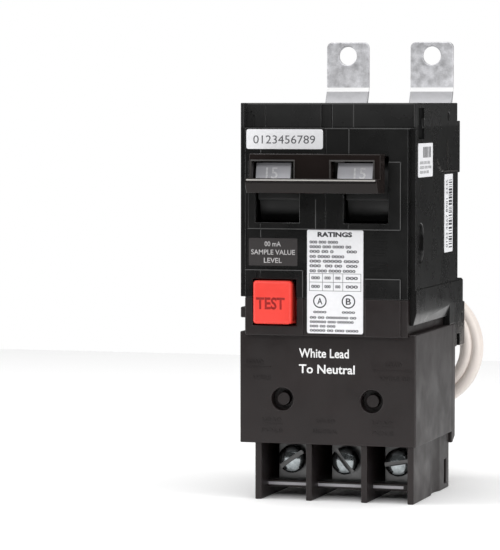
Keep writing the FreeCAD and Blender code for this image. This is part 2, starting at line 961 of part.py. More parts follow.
ARM_FACE = "strap_back - tab_thick - 2 * contact_thick - contact_gap"


def contact_arm(side):
    """A copper arm from its pin up to the moving contact."""
    outline = [
        ("arm_y - arm_eye / 2", "arm_z - arm_eye"),
        ("arm_y + arm_eye", "arm_z - arm_eye"),
        (ARM_FACE, "contact_z - arm_width"),
        (ARM_FACE, "contact_z + arm_eye"),
        (f"{ARM_FACE} - arm_eye", "contact_z + arm_eye"),
        ("arm_y - arm_eye", "arm_z + arm_eye / 2"),
    ]
    bar = prism(side + "_arm_bar", "x", outline, pole_x(side, "-arm_half"), pole_x(side, "arm_half"))
    bore = rod(
        side + "_arm_bore", "x", (pole_x(side, f"-arm_half - {OVERSHOOT}"), "arm_y", "arm_z"),
        "small_pin + running_gap", f"2 * (arm_half + {OVERSHOOT})",
    )
    sub_part(side + "_contact_arm", cut(side + "_arm_bored", bar, bore))


def moving_contacts():
    pads = [
        rod(side + "_moving_contact", "y", (pole_x(side), ARM_FACE, "contact_z"),
            "contact_radius", "contact_thick")
        for side in POLES
    ]
    sub_part("moving_contacts", group("moving_contacts_group", *pads))


def cradle(side):
    """The latched lever under the contact arm; its tip rests on the trip bar's side."""
    outline = [
        ("cradle_tip", "cradle_z - cradle_half / 2"),
        ("cradle_end", "cradle_z - cradle_half"),
        ("cradle_end", "cradle_z + cradle_half"),
        ("cradle_tip", "cradle_z + cradle_half"),
    ]
    lever = prism(side + "_cradle_bar", "x", outline, pole_x(side, "-arm_half"), pole_x(side, "arm_half"))
    bore = rod(
        side + "_cradle_bore", "x", (pole_x(side, f"-arm_half - {OVERSHOOT}"), "cradle_y", "cradle_z"),
        "small_pin + running_gap", f"2 * (arm_half + {OVERSHOOT})",
    )
    sub_part(side + "_cradle", cut(side + "_cradle_bored", lever, bore))


def mechanism_frame(side):
    """A folded steel channel that carries the arm's pin and the cradle's pin."""
    left = pole_x(side, "-frame_left")
    right = pole_x(side, "frame_right")
    outer = block(
        side + "_frame_outer", (left, "frame_front", "frame_bottom"), (right, "frame_back", "frame_top"),
    )
    inside = block(
        side + "_frame_inside",
        (f"{left} + sheet_thick", f"frame_front - {OVERSHOOT}", "frame_bottom + sheet_thick"),
        (f"{right} - sheet_thick", f"frame_back + {OVERSHOOT}", f"frame_top + {OVERSHOOT}"),
    )
    eyes = [
        rod(
            f"{side}_{name}_eye", "x", (f"{left} - {OVERSHOOT}", name + "_y", name + "_z"),
            "small_pin + running_gap", f"frame_left + frame_right + 2 * {OVERSHOOT}",
        )
        for name in ("arm", "cradle")
    ]
    sub_part(side + "_mechanism_frame", cut(side + "_frame_cut", outer, inside, *eyes))


def mechanism_pins():
    pins = [
        rod(
            f"{side}_{name}_pin", "x", (pole_x(side, "-frame_left"), name + "_y", name + "_z"),
            "small_pin", "frame_left + frame_right",
        )
        for side in POLES
        for name in ("arm", "cradle")
    ]
    sub_part("mechanism_pins", group("mechanism_pins_group", *pins))


def main_spring(side):
    spring = coil_spring(
        side + "_spring", "z", (pole_x(side), "spring_y", "spring_foot"),
        "spring_radius", "spring_wire", "spring_pitch", "spring_top - spring_foot",
    )
    sub_part(side + "_main_spring", spring)


def arc_chutes():
    """A stack of slotted steel plates between two fibre sides, one stack round each contact arm."""
    stacks = []
    for side in POLES:
        pieces = [
            block(
                f"{side}_chute_{name}",
                (pole_x(side, start), "chute_front", "chute_bottom"),
                (pole_x(side, end), "chute_back", "chute_top"),
            )
            for name, start, end in (
                ("left", "-chute_half", "chute_side - chute_half"),
                ("right", "chute_half - chute_side", "chute_half"),
            )
        ]
        for level in range(4):
            bottom = f"chute_bottom + chute_plate + {level} * chute_pitch"
            outline = [
                (pole_x(side, "-chute_half"), "chute_front"),
                (pole_x(side, "chute_half"), "chute_front"),
                (pole_x(side, "chute_half"), "chute_back"),
                (pole_x(side, "chute_gap"), "chute_back"),
                (pole_x(side, "chute_gap"), "chute_front + chute_bridge"),
                (pole_x(side, "-chute_gap"), "chute_front + chute_bridge"),
                (pole_x(side, "-chute_gap"), "chute_back"),
                (pole_x(side, "-chute_half"), "chute_back"),
            ]
            pieces.append(prism(
                f"{side}_plate_{level}", "z", outline, bottom, f"{bottom} + chute_plate",
            ))
        stacks.append(fuse(side + "_chute", *pieces))
    sub_part("arc_chutes", group("arc_chutes_group", *stacks))


# Thermal and magnetic trip ------------------------------------------------------------------------

def bimetal(side):
    middle = pole_x(side, "bimetal_x")
    sub_part(side + "_bimetal", block(
        side + "_bimetal_strip",
        (f"{middle} - bimetal_half", "bimetal_front", "bimetal_foot"),
        (f"{middle} + bimetal_half", "bimetal_front + bimetal_thick", "bimetal_top"),
    ))


def magnet_yokes():
    """A steel channel behind each bimetal, open towards its armature."""
    yokes = []
    for side in POLES:
        middle = pole_x(side, "bimetal_x")
        outer = block(
            side + "_yoke_outer",
            (f"{middle} - yoke_half", "yoke_front", "yoke_bottom"),
            (f"{middle} + yoke_half", "yoke_back", "yoke_top"),
        )
        inside = block(
            side + "_yoke_inside",
            (f"{middle} - yoke_half + yoke_wall", f"yoke_front - {OVERSHOOT}", f"yoke_bottom - {OVERSHOOT}"),
            (f"{middle} + yoke_half - yoke_wall", "yoke_back - yoke_wall", f"yoke_top + {OVERSHOOT}"),
        )
        yokes.append(cut(side + "_yoke", outer, inside))
    sub_part("magnet_yokes", group("magnet_yokes_group", *yokes))


def armatures():
    """A plate over each yoke's mouth, rocking on its rolled foot."""
    plates = []
    for side in POLES:
        middle = pole_x(side, "bimetal_x")
        plate = block(
            side + "_armature_plate",
            (f"{middle} - yoke_half", "armature_front", "armature_foot"),
            (f"{middle} + yoke_half", "armature_back", "armature_top"),
        )
        roll = rod(
            side + "_armature_roll", "x",
            (f"{middle} - yoke_half", "(armature_front + armature_back) / 2", "armature_foot"),
            "armature_roll", "2 * yoke_half",
        )
        plates.append(fuse(side + "_armature", plate, roll))
    sub_part("armatures", group("armatures_group", *plates))


def flex_braid(side):
    """A woven copper braid over the frame, from the bimetal's top to the contact arm's flank."""
    depth = "bimetal_front + bimetal_thick / 2"
    route = [
        (pole_x(side, "bimetal_x"), depth, "bimetal_top"),
        (pole_x(side, "bimetal_x"), depth, "bimetal_top + braid_rise"),
        (pole_x(side, "arm_half + contact_gap"), depth, "bimetal_top + braid_rise"),
    ]
    sub_part(side + "_flex_braid", bent_tube(side + "_braid", route, "braid_radius"))


def trip_bar():
    """One moulded bar through both poles, with a paddle in each and an arm over the plunger."""
    pieces = [
        rod("trip_rod", "x", ("-trip_reach", "trip_y", "trip_z"), "trip_radius", "2 * trip_reach"),
        block(
            "strike_arm",
            ("coil_x - strike_half", "trip_y", "strike_low"),
            ("coil_x + strike_half", "strike_back", "strike_high"),
        ),
        block(
            "strike_root",
            ("coil_x - strike_half", "trip_y - trip_radius / 2", "strike_low"),
            ("coil_x + strike_half", "trip_y + trip_radius / 2", "trip_z"),
        ),
    ]
    for side in POLES:
        pieces.append(block(
            side + "_paddle",
            (pole_x(side, "-paddle_half"), "trip_y - paddle_thick / 2", "paddle_foot"),
            (pole_x(side, "paddle_half"), "trip_y + paddle_thick / 2", "trip_z"),
        ))
    sub_part("trip_bar", fuse("trip_bar_solid", *pieces))


# Load module --------------------------------------------------------------------------------------

def button_opening(name):
    return block(
        name,
        ("button_x - button_half - button_gap", f"{PANEL_FRONT} - {OVERSHOOT}", "button_bottom - button_gap"),
        ("button_x + button_half + button_gap", "button_room", "button_top + button_gap"),
    )


LEG_OUTLINE = [
    ("leg_front", "module_bottom + module_wall"),
    ("leg_front", "0"),
    ("module_back", "0"),
    ("module_back", "module_bottom + module_wall"),
]


def outer_leg_cuts():
    """A shallow scoop and an upright slot in the outer face of each outer leg."""
    cuts = []
    for name, face, outward in (("leg_1", "leg_1_left", "-"), ("leg_4", "leg_4_right", "")):
        cuts.append(rod(
            name + "_scoop", "z",
            (f"{face} + ({outward}1) * (scoop_radius - scoop_depth)", "scoop_y", f"-{OVERSHOOT}"),
            "scoop_radius", f"module_bottom + {OVERSHOOT}",
        ))
        cuts.append(block(
            name + "_heel_slot",
            (f"{face} - heel_slot_depth", "heel_slot_front", "heel_slot_bottom"),
            (f"{face} + heel_slot_depth", "heel_slot_back", "heel_slot_top"),
        ))
    return cuts


def load_module_housing():
    """The brown moulding: a hollow block, a neck up into the pole cases, and four barrier legs."""
    pieces = [
        block("module_block", ("-half_w", "0", "module_bottom"), ("half_w", "module_back", "module_top")),
        block(
            "module_neck",
            ("-neck_half", "nose_front", "neck_bottom"),
            ("neck_half", "neck_back", "case_floor"),
        ),
        raised_panel("bay_3", "bay_left", "bay_right", "neck_bottom", "case_floor"),
        raised_panel("low_panel_2", "low_panel_left", "panel_right", "neck_bottom", "case_floor"),
        block(
            "side_nub",
            ("-half_w", "side_front", "nub_bottom"),
            (f"{OVERSHOOT} - neck_half", "nub_back", "nub_top"),
        ),
    ]
    for index in (1, 2, 3, 4):
        pieces.append(prism(f"leg_{index}", "x", LEG_OUTLINE, f"leg_{index}_left", f"leg_{index}_right"))
    pieces.append(block(
        "bay_wall",
        ("leg_1_left", "bay_wall_front", "bay_wall_bottom"),
        ("leg_4_right", "bay_wall_back", "module_bottom + module_wall"),
    ))
    pieces.append(block(
        "sill", ("leg_1_left", "sill_front", "sill_bottom"), ("leg_4_right", "sill_back", "sill_top"),
    ))
    hollows = [
        block(
            "module_hollow",
            ("module_wall - half_w", "module_wall", "module_bottom + module_wall"),
            ("half_w - module_wall", f"module_back + {OVERSHOOT}", "module_top - module_wall"),
        ),
        block(
            "neck_hollow",
            ("module_wall - neck_half", "nose_front + module_wall", "module_top"),
            ("neck_half - module_wall", "neck_back - module_wall", f"case_floor + {OVERSHOOT}"),
        ),
        block(
            "neck_throat",
            ("module_wall - neck_half", "module_wall", f"module_top - module_wall - {OVERSHOOT}"),
            ("neck_half - module_wall", "neck_back - module_wall", f"module_top + {OVERSHOOT}"),
        ),
        button_opening("neck_button_opening"),
        *outer_leg_cuts(),
    ]
    for index in (1, 2, 3):
        hollows.append(block(
            f"strap_slot_{index}",
            (f"lug_{index} - strap_half - contact_gap", "wire_back - contact_gap",
             f"module_bottom - {OVERSHOOT}"),
            (f"lug_{index} + strap_half + contact_gap", "lug_back + contact_gap",
             f"module_bottom + module_wall + {OVERSHOOT}"),
        ))
    shell = cut("module_shell", fuse("module_solid", *pieces), *hollows)
    bosses = [
        rod(side + "_boss", "y", ("recess_" + side, "module_wall / 2", "recess_z"),
            "recess_boss", "recess_boss_back - module_wall / 2")
        for side in POLES
    ]
    recesses = [
        rod(side + "_recess", "y", ("recess_" + side, f"-{OVERSHOOT}", "recess_z"),
            "recess_radius", f"recess_depth + {OVERSHOOT}")
        for side in POLES
    ]
    posts = [
        rod(side + "_post", "y", ("recess_" + side, "recess_post_front", "recess_z"),
            "recess_post", "recess_depth")
        for side in POLES
    ]
    recessed = cut("module_recessed", fuse("module_bossed", shell, *bosses), *recesses)
    sub_part("load_module_housing", fuse("module_finished", recessed, *posts))


def load_module_back():
    outline = [
        ("module_back", "lid_bottom"),
        ("module_back + lid_lip", "lid_bottom"),
        ("lid_back", "lid_bottom + lid_slope"),
        ("lid_back", "module_top"),
        ("module_back", "module_top"),
    ]
    plate = prism("module_lid", "x", outline, "-half_w", "half_w")
    hole = rod(
        "bushing_hole", "y", ("pigtail_x", f"module_back - {OVERSHOOT}", "pigtail_z"),
        "bushing_radius + running_gap", f"lid_back - module_back + 2 * {OVERSHOOT}",
    )
    sub_part("load_module_back", cut("module_lid_cut", plate, hole))


# Load terminals -----------------------------------------------------------------------------------

TERMINALS = {"left": "lug_1", "neutral": "lug_2", "right": "lug_3"}


def load_lug(name, middle):
    """A box lug with a strap up into the module; the wire comes in from below."""
    outer = block(
        name + "_lug_outer",
        (f"{middle} - lug_half", "lug_front", "lug_bottom"),
        (f"{middle} + lug_half", "lug_back", "lug_top"),
    )
    strap = block(
        name + "_lug_strap",
        (f"{middle} - strap_half", "wire_back", "lug_floor"),
        (f"{middle} + strap_half", "lug_back", "lug_strap_top"),
    )
    wire_way = block(
        name + "_wire_way",
        (f"{middle} - wire_half", "wire_front", f"lug_bottom - {OVERSHOOT}"),
        (f"{middle} + wire_half", "wire_back", "lug_floor"),
    )
    screw_way = rod(
        name + "_screw_way", "y", (middle, f"lug_front - {OVERSHOOT}", "screw_z"),
        "screw_radius + running_gap", f"wire_front - lug_front + 2 * {OVERSHOOT}",
    )
    solid = fuse(name + "_lug_solid", outer, strap)
    sub_part(name + "_load_lug", cut(name + "_lug_cut", solid, wire_way, screw_way))


def terminal_screw(name, middle):
    """A slotted clamping screw; its shank turns in the lug's front wall."""
    head = rod(name + "_screw_head", "y", (middle, "head_front", "screw_z"), "head_radius", "head_thick")
    shank = rod(
        name + "_screw_shank", "y", (middle, "head_front + head_thick / 2", "screw_z"),
        "screw_radius", "screw_tip - head_front - head_thick / 2",
    )
    driver_slot = block(
        name + "_driver_slot",
        (f"{middle} - slot_wide / 2", f"head_front - {OVERSHOOT}", f"screw_z - head_radius - {OVERSHOOT}"),
        (f"{middle} + slot_wide / 2", "head_front + slot_deep", f"screw_z + head_radius + {OVERSHOOT}"),
    )
    solid = fuse(name + "_screw_solid", head, shank)
    sub_part(name + "_terminal_screw", cut(name + "_screw_slotted", solid, driver_slot))


def clamp_plate(name, middle):
    """The plate that the screw drives back against the wire."""
    sub_part(name + "_clamp_plate", block(
        name + "_plate",
        (f"{middle} - plate_half", "screw_tip", "plate_bottom"),
        (f"{middle} + plate_half", "screw_tip + plate_thick", "plate_top"),
    ))


# Test button --------------------------------------------------------------------------------------

def test_button():
    cap = block(
        "button_cap",
        ("button_x - button_half", "button_front", "button_bottom"),
        ("button_x + button_half", "button_back", "button_top"),
    )
    ears = block(
        "button_ears",
        ("button_x - ear_reach", "ear_front", "button_bottom"),
        ("button_x + ear_reach", "ear_back", "ear_top"),
    )
    sub_part("test_button", fuse("test_button_solid", cap, ears))


def test_spring():
    sub_part("test_spring", coil_spring(
        "test_spring_coil", "y", ("button_x", "button_back", "test_spring_z"),
        "test_spring_radius", "test_spring_wire", "test_spring_pitch", "test_blade_front - button_back",
    ))


def test_contact():
    sub_part("test_contact", block(
        "test_blade",
        ("button_x - test_blade_half", "test_blade_front", "board_top"),
        ("button_x + test_blade_half", "test_blade_front + test_blade_thick", "test_blade_top"),
    ))


# Ground-fault module ------------------------------------------------------------------------------

def circuit_board():
    sub_part("circuit_board", block(
        "board",
        ("-board_half", "board_front", "board_bottom"),
        ("board_half", "board_back", "board_top"),
    ))


def board_components():
    """What stands on the board's back face: a chip, a rectifier, capacitors, resistors and a surge disc."""
    chips = (
        ("sense_chip", 4.0, 33.0, 9.0, 2.2, 6.5),
        ("rectifier", 15.5, 38.0, 5.0, 2.6, 4.5),
    )
    cans = (
        ("supply_capacitor", -18.0, 39.0, 2.5, 7.0),
        ("filter_capacitor", 20.0, 31.5, 1.9, 5.0),
        ("surge_disc", 12.5, 32.5, 3.2, 3.0),
    )
    resistors = [("resistor", -18.0, 31.0 - 3.0 * step) for step in range(4)]
    pieces = [
        block(
            name,
            (f"{x} - {wide / 2}", "board_back", f"{z} - {tall / 2}"),
            (f"{x} + {wide / 2}", f"board_back + {thick}", f"{z} + {tall / 2}"),
        )
        for name, x, z, wide, thick, tall in chips
    ]
    pieces += [rod(name, "y", (x, "board_back", z), radius, length) for name, x, z, radius, length in cans]
    resistor_radius = 0.9
    resistor_length = 5.0
    pieces += [
        rod(name, "x", (x, f"board_back + {resistor_radius}", z), resistor_radius, resistor_length)
        for name, x, z in resistors
    ]
    sub_part("board_components", group("board_components_group", *pieces))


def sensor_toroid():
    ring = cut(
        "toroid_ring",
        rod("toroid_outer", "z", ("ring_x", "ring_y", "ring_bottom"), "ring_outer", "ring_top - ring_bottom"),
        rod("toroid_inner", "z", ("ring_x", "ring_y", f"ring_bottom - {OVERSHOOT}"),
            "ring_inner", f"ring_top - ring_bottom + 2 * {OVERSHOOT}"),
    )
    sub_part("sensor_toroid", ring)


def solenoid():
    """A steel bracket round a wound coil, with a plunger that strikes the trip bar's arm from below."""
    outer = block(
        "bracket_outer",
        ("coil_x - bracket_half", "coil_y - bracket_half", "coil_bottom - bracket_thick"),
        ("coil_x + bracket_half", "coil_y + bracket_half + bracket_thick", "coil_top + bracket_thick"),
    )
    inside = block(
        "bracket_inside",
        (f"coil_x - bracket_half - {OVERSHOOT}", f"coil_y - bracket_half - {OVERSHOOT}", "coil_bottom"),
        (f"coil_x + bracket_half + {OVERSHOOT}", "coil_y + bracket_half", "coil_top"),
    )
    plunger_way = rod(
        "bracket_hole", "z", ("coil_x", "coil_y", f"coil_bottom - bracket_thick - {OVERSHOOT}"),
        "coil_bore", f"coil_top - coil_bottom + 2 * (bracket_thick + {OVERSHOOT})",
    )
    sub_part("solenoid_frame", cut("bracket", outer, inside, plunger_way))
    winding = rod("winding", "z", ("coil_x", "coil_y", "coil_bottom"), "coil_radius", "coil_top - coil_bottom")
    sub_part("solenoid_coil", cut("winding_ring", winding, plunger_way))
    sub_part("solenoid_plunger", rod(
        "plunger", "z", ("coil_x", "coil_y", "plunger_bottom"),
        "plunger_radius", "plunger_top - plunger_bottom",
    ))


def load_leads():
    """Both load conductors: down from the bimetal, through the toroid, forward to the lug strap."""
    depth = "bimetal_front + bimetal_thick / 2"
    left = bent_tube("left_lead", [
        (pole_x("left", "bimetal_x"), depth, "bimetal_foot"),
        (pole_x("left", "bimetal_x"), depth, 49.0),
        (-10.3, 32.3, 43.0),
        (-10.3, 32.3, 32.0),
        ("lug_1", 29.5, 26.0),
        ("lug_1", "lug_back", 26.0),
    ], "lead_radius")
    right = bent_tube("right_lead", [
        (pole_x("right", "bimetal_x"), depth, "bimetal_foot"),
        (pole_x("right", "bimetal_x"), depth, 51.5),
        (14.5, 36.6, 47.6),
        (4.5, 37.0, 46.4),
        (-4.2, 35.4, 45.2),
        (-5.9, 32.6, 41.2),
        (-5.9, 32.6, 31.0),
        (1.5, 34.0, 25.5),
        (12.5, 33.4, 25.0),
        ("lug_3", 29.4, 26.0),
        ("lug_3", "lug_back", 26.0),
    ], "lead_radius")
    sub_part("load_leads", group("load_leads_group", left, right))


def neutral_lead():
    """The neutral conductor: from its lug strap through the toroid to the pigtail's bushing."""
    sub_part("neutral_lead", bent_tube("neutral_run", [
        ("lug_2", "lug_back", 27.0),
        ("lug_2", 28.5, 27.0),
        (-4.0, 30.0, 28.0),
        (-8.0, 28.6, 32.5),
        (-8.0, 28.6, 41.5),
        (-12.8, 30.0, 45.0),
        (-18.6, 33.5, 40.5),
        (-20.0, 35.6, 30.0),
        ("pigtail_x", 38.8, "pigtail_z"),
        ("pigtail_x", "module_back", "pigtail_z"),
    ], "lead_radius"))


# Neutral pigtail ----------------------------------------------------------------------------------

def pigtail():
    """The free neutral lead: its bushing, the stretch to the coil, the coil and the stripped end."""
    shank = rod(
        "bushing_shank", "y", ("pigtail_x", "module_back", "pigtail_z"),
        "bushing_radius", "lid_back - module_back",
    )
    flange = rod(
        "bushing_flange", "y", ("pigtail_x", "lid_back", "pigtail_z"),
        "bushing_flange", "bushing_flange_back - lid_back",
    )
    nose = taper(
        "bushing_taper", "y", ("pigtail_x", "bushing_flange_back", "pigtail_z"),
        "bushing_radius", "bushing_nose", "bushing_end - bushing_flange_back",
    )
    sub_part("pigtail_bushing", fuse("pigtail_bushing_solid", shank, flange, nose))
    sub_part("pigtail_lead", bent_tube("pigtail_run", [
        ("pigtail_x", "bushing_end", "pigtail_z"),
        ("pigtail_x", 59.0, "pigtail_z"),
        (-13.25, 65.5, "pigtail_z"),
        (-6.75, "hank_y", "pigtail_z"),
        (2.3, "hank_y", "pigtail_z + 0.1"),
    ], "pigtail_radius"))
    outer = rod("hank_outside", "y", ("hank_x", "hank_y - hank_half", "hank_z"), "hank_outer", "2 * hank_half")
    inner = rod(
        "hank_inside", "y", ("hank_x", f"hank_y - hank_half - {OVERSHOOT}", "hank_z"),
        "hank_inner", f"2 * (hank_half + {OVERSHOOT})",
    )
    sub_part("pigtail_coil", cut("hank", outer, inner))
    sub_part("pigtail_tip", rod(
        "bare_end", "x", ("tip_x", "hank_y", "tip_z"), "tip_radius", "tip_length",
    ))


# Labels -------------------------------------------------------------------------------------------

def printed_labels():
    """Paper labels: three on the nose's front and two on the right side."""
    front = (
        ("rating_label", -5.3, 10.8, 47.3, 76.1),
        ("serial_label", -22.9, -0.8, 98.4, 103.9),
        ("level_label", -22.0, -7.8, 66.0, 73.7),
    )
    side = (
        ("code_label", 2.7, 19.8, 90.6, 100.0),
        ("strip_label", 34.6, 44.8, 68.4, 90.8),
    )
    papers = [
        block(name, (left, "nose_front - paper", low), (right, "nose_front", high))
        for name, left, right, low, high in front
    ]
    papers += [
        block(name, ("half_w - side_relief", near, low), ("half_w - side_relief + paper", far, high))
        for name, near, far, low, high in side
    ]
    sub_part("printed_labels", group("printed_labels_group", *papers))


def build():
    fill_sheet()
    pole_cases()
    case_rivets()
    for side in POLES:
        handle(side)
        line_tab(side)
        contact_arm(side)
        cradle(side)
        mechanism_frame(side)
        main_spring(side)
        bimetal(side)
        flex_braid(side)
    rating_faces()
    handle_tie()
    handle_pivot_pins()
    fixed_contacts()
    moving_contacts()
    mechanism_pins()
    arc_chutes()
    magnet_yokes()
    armatures()
    trip_bar()
    load_module_housing()
    load_module_back()
    for name, middle in TERMINALS.items():
        load_lug(name, middle)
        terminal_screw(name, middle)
        clamp_plate(name, middle)
    test_button()
    test_spring()
    test_contact()
    circuit_board()
    board_components()
    sensor_toroid()
    solenoid()
    load_leads()
    neutral_lead()
    pigtail()
    printed_labels()
    document.recompute()


def check():
    """Stop if any object failed or any piece has no sound shape."""
    for item in document.Objects:
        if "Invalid" in item.State or "Error" in item.State:
            raise RuntimeError(f"{item.Name} failed: {item.State}")
    for piece in sub_parts:
        if piece.Shape.isNull() or not piece.Shape.isValid() or not piece.Shape.Solids:
            raise RuntimeError(f"{piece.Label} has no sound shape")


def write():
    os.makedirs("parts", exist_ok=True)
    for piece in sub_parts:
        piece.Shape.exportStep(f"parts/{piece.Label}.step")


build()
check()
write()
print(f"{len(sub_parts)} sub-parts written")
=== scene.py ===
import json
import math
import random

import bmesh
import bpy
from mathutils import Matrix, Vector


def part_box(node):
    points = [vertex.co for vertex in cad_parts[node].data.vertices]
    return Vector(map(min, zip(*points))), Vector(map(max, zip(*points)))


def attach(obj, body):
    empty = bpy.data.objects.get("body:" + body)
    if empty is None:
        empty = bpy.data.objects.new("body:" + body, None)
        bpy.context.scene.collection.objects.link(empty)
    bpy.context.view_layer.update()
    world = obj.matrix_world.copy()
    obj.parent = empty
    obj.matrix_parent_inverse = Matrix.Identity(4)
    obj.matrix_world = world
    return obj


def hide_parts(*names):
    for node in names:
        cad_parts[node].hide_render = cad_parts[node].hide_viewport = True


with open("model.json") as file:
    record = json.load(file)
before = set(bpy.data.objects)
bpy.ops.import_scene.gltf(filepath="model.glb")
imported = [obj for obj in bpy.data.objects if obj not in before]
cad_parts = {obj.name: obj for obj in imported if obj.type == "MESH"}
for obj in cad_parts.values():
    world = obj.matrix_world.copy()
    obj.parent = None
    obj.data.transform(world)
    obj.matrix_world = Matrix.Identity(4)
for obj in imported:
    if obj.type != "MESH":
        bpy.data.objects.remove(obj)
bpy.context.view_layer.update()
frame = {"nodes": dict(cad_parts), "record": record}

# A two-pole bolt-on circuit breaker with a ground-fault module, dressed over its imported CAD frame.
# Sizes are written in millimetres. A depth counts backwards from the load module's front face,
# which FRONT places in the frame.

nodes = frame["nodes"]

MM = 0.001
LID_DEPTH = 44.0  # from the load module's front to the plate that closes its back
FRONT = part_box("load_module_back")[0].y - LID_DEPTH * MM

# Depths of the faces that carry artwork, and the right side's distance from the middle.
MODULE = 0.0
NOSE = -2.0
RAISED = -2.5
SHOULDER = 3.0
BUTTON = -4.0
TIE = -11.0
LEDGE = -15.0
SILL = 8.0
SIDE = 25.1

SLOT_OF = {part["node"]: part["material_slot"] for part in frame["record"]["subparts"]}
BODY_OF = {
    node: body
    for body, members in frame["record"]["behaviour"]["bodies"].items()
    for node in members
}


def at(x, depth, z):
    """A point of the frame from millimetres and a depth."""
    return Vector((x * MM, FRONT + depth * MM, z * MM))


# Camera, light and floor --------------------------------------------------------------------------

def make_camera():
    """A long lens, level with the case's top and to the right of the object."""
    azimuth = math.radians(16.79)
    dip = math.radians(3.21)
    data = bpy.data.cameras.new("camera")
    data.sensor_width = 36.0
    data.lens = 200.9
    data.clip_start = 0.01
    data.clip_end = 20
    camera = bpy.data.objects.new("camera", data)
    camera.location = at(225.3, -821.2, 111.2)
    camera.rotation_euler = (math.pi / 2 - dip, 0, azimuth)
    bpy.context.scene.collection.objects.link(camera)
    bpy.context.scene.camera = camera


def area_light(name, position, target, size, power):
    data = bpy.data.lights.new(name, "AREA")
    data.shape = "RECTANGLE"
    data.size, data.size_y = size
    data.energy = power
    light = bpy.data.objects.new(name, data)
    light.location = position
    light.rotation_mode = "QUATERNION"
    light.rotation_quaternion = (Vector(target) - Vector(position)).to_track_quat("-Z", "Y")
    bpy.context.scene.collection.objects.link(light)


def make_light():
    """Soft boxes round the object, in a room that looks white, fills softly and reflects little."""
    target = (0, 0, 0.06)
    area_light("top", (0.0, -0.12, 0.85), target, (1.3, 1.0), 8.0)
    area_light("front", (0.10, -1.05, 0.55), target, (0.8, 0.2), 2.6)
    area_light("left", (-0.80, -0.30, 0.30), target, (0.25, 0.6), 3.0)
    area_light("right", (0.85, -0.20, 0.30), target, (0.25, 0.6), 2.6)
    world = bpy.data.worlds.new("studio")
    bpy.context.scene.world = world
    world.use_nodes = True
    tree = world.node_tree
    room = tree.nodes["Background"]
    room.inputs["Color"].default_value = (1, 1, 1, 1)
    path = tree.nodes.new("ShaderNodeLightPath")
    reflected, filling, seen = 0.06, 0.45, 1.0
    strength = reflected
    for output, level in (("Is Diffuse Ray", filling), ("Is Camera Ray", seen)):
        step = tree.nodes.new("ShaderNodeMath")
        step.operation = "MULTIPLY_ADD"
        tree.links.new(path.outputs[output], step.inputs[0])
        step.inputs[1].default_value = level - reflected
        if isinstance(strength, float):
            step.inputs[2].default_value = strength
        else:
            tree.links.new(strength, step.inputs[2])
        strength = step.outputs["Value"]
    tree.links.new(strength, room.inputs["Strength"])


def make_floor():
    left, right, near, far = -0.5, 0.5, -0.2, 0.45
    mesh = bpy.data.meshes.new("floor")
    corners = [(left, near, 0), (right, near, 0), (right, far, 0), (left, far, 0)]
    mesh.from_pydata(corners, [], [(0, 1, 2, 3)])
    floor = bpy.data.objects.new("floor", mesh)
    bpy.context.scene.collection.objects.link(floor)
    material, tree, shader = new_material("floor")
    shader.inputs["Base Color"].default_value = (0.93, 0.93, 0.93, 1)
    shader.inputs["Roughness"].default_value = 0.9
    mesh.materials.append(material)


# Materials ----------------------------------------------------------------------------------------

def new_material(name):
    material = bpy.data.materials.new(name)
    material.use_nodes = True
    tree = material.node_tree
    return material, tree, tree.nodes["Principled BSDF"]


def object_coordinates(tree, stretch=(1, 1, 1)):
    """Object coordinates, scaled, as the source of every pattern."""
    source = tree.nodes.new("ShaderNodeTexCoord")
    mapping = tree.nodes.new("ShaderNodeMapping")
    mapping.inputs["Scale"].default_value = stretch
    tree.links.new(source.outputs["Object"], mapping.inputs["Vector"])
    return mapping.outputs["Vector"]


def noise(tree, vector, scale, detail=3.0, roughness=0.5):
    texture = tree.nodes.new("ShaderNodeTexNoise")
    texture.inputs["Scale"].default_value = scale
    texture.inputs["Detail"].default_value = detail
    texture.inputs["Roughness"].default_value = roughness
    tree.links.new(vector, texture.inputs["Vector"])
    return texture.outputs["Fac"]


# The part of a noise pattern's range that is spread over two colours or two numbers.
NOISE_LOW, NOISE_HIGH = 0.3, 0.7


def ramp(tree, factor, low, high):
    """A colour between two, by a noise pattern."""
    node = tree.nodes.new("ShaderNodeValToRGB")
    node.color_ramp.elements[0].position = NOISE_LOW
    node.color_ramp.elements[1].position = NOISE_HIGH
    node.color_ramp.elements[0].color = (*low, 1)
    node.color_ramp.elements[1].color = (*high, 1)
    tree.links.new(factor, node.inputs["Fac"])
    return node.outputs["Color"]


def spread(tree, factor, low, high):
    """A number between two, by a noise pattern."""
    node = tree.nodes.new("ShaderNodeMapRange")
    node.inputs["From Min"].default_value = NOISE_LOW
    node.inputs["From Max"].default_value = NOISE_HIGH
    node.inputs["To Min"].default_value = low
    node.inputs["To Max"].default_value = high
    tree.links.new(factor, node.inputs["Value"])
    return node.outputs["Result"]


def bump(tree, shader, height, strength, distance):
    node = tree.nodes.new("ShaderNodeBump")
    node.inputs["Strength"].default_value = strength
    node.inputs["Distance"].default_value = distance
    tree.links.new(height, node.inputs["Height"])
    tree.links.new(node.outputs["Normal"], shader.inputs["Normal"])


def shade(colour, factor):
    return tuple(min(1.0, channel * factor) for channel in colour)


def past(tree, axis, start, blend):
    """A factor that goes from 0 to 1 over a short blend past a place on one axis."""
    source = tree.nodes.new("ShaderNodeTexCoord")
    split = tree.nodes.new("ShaderNodeSeparateXYZ")
    tree.links.new(source.outputs["Object"], split.inputs["Vector"])
    step = tree.nodes.new("ShaderNodeMapRange")
    step.inputs["From Min"].default_value = start * MM
    step.inputs["From Max"].default_value = (start + blend) * MM
    tree.links.new(split.outputs[axis], step.inputs["Value"])
    return step.outputs["Result"]


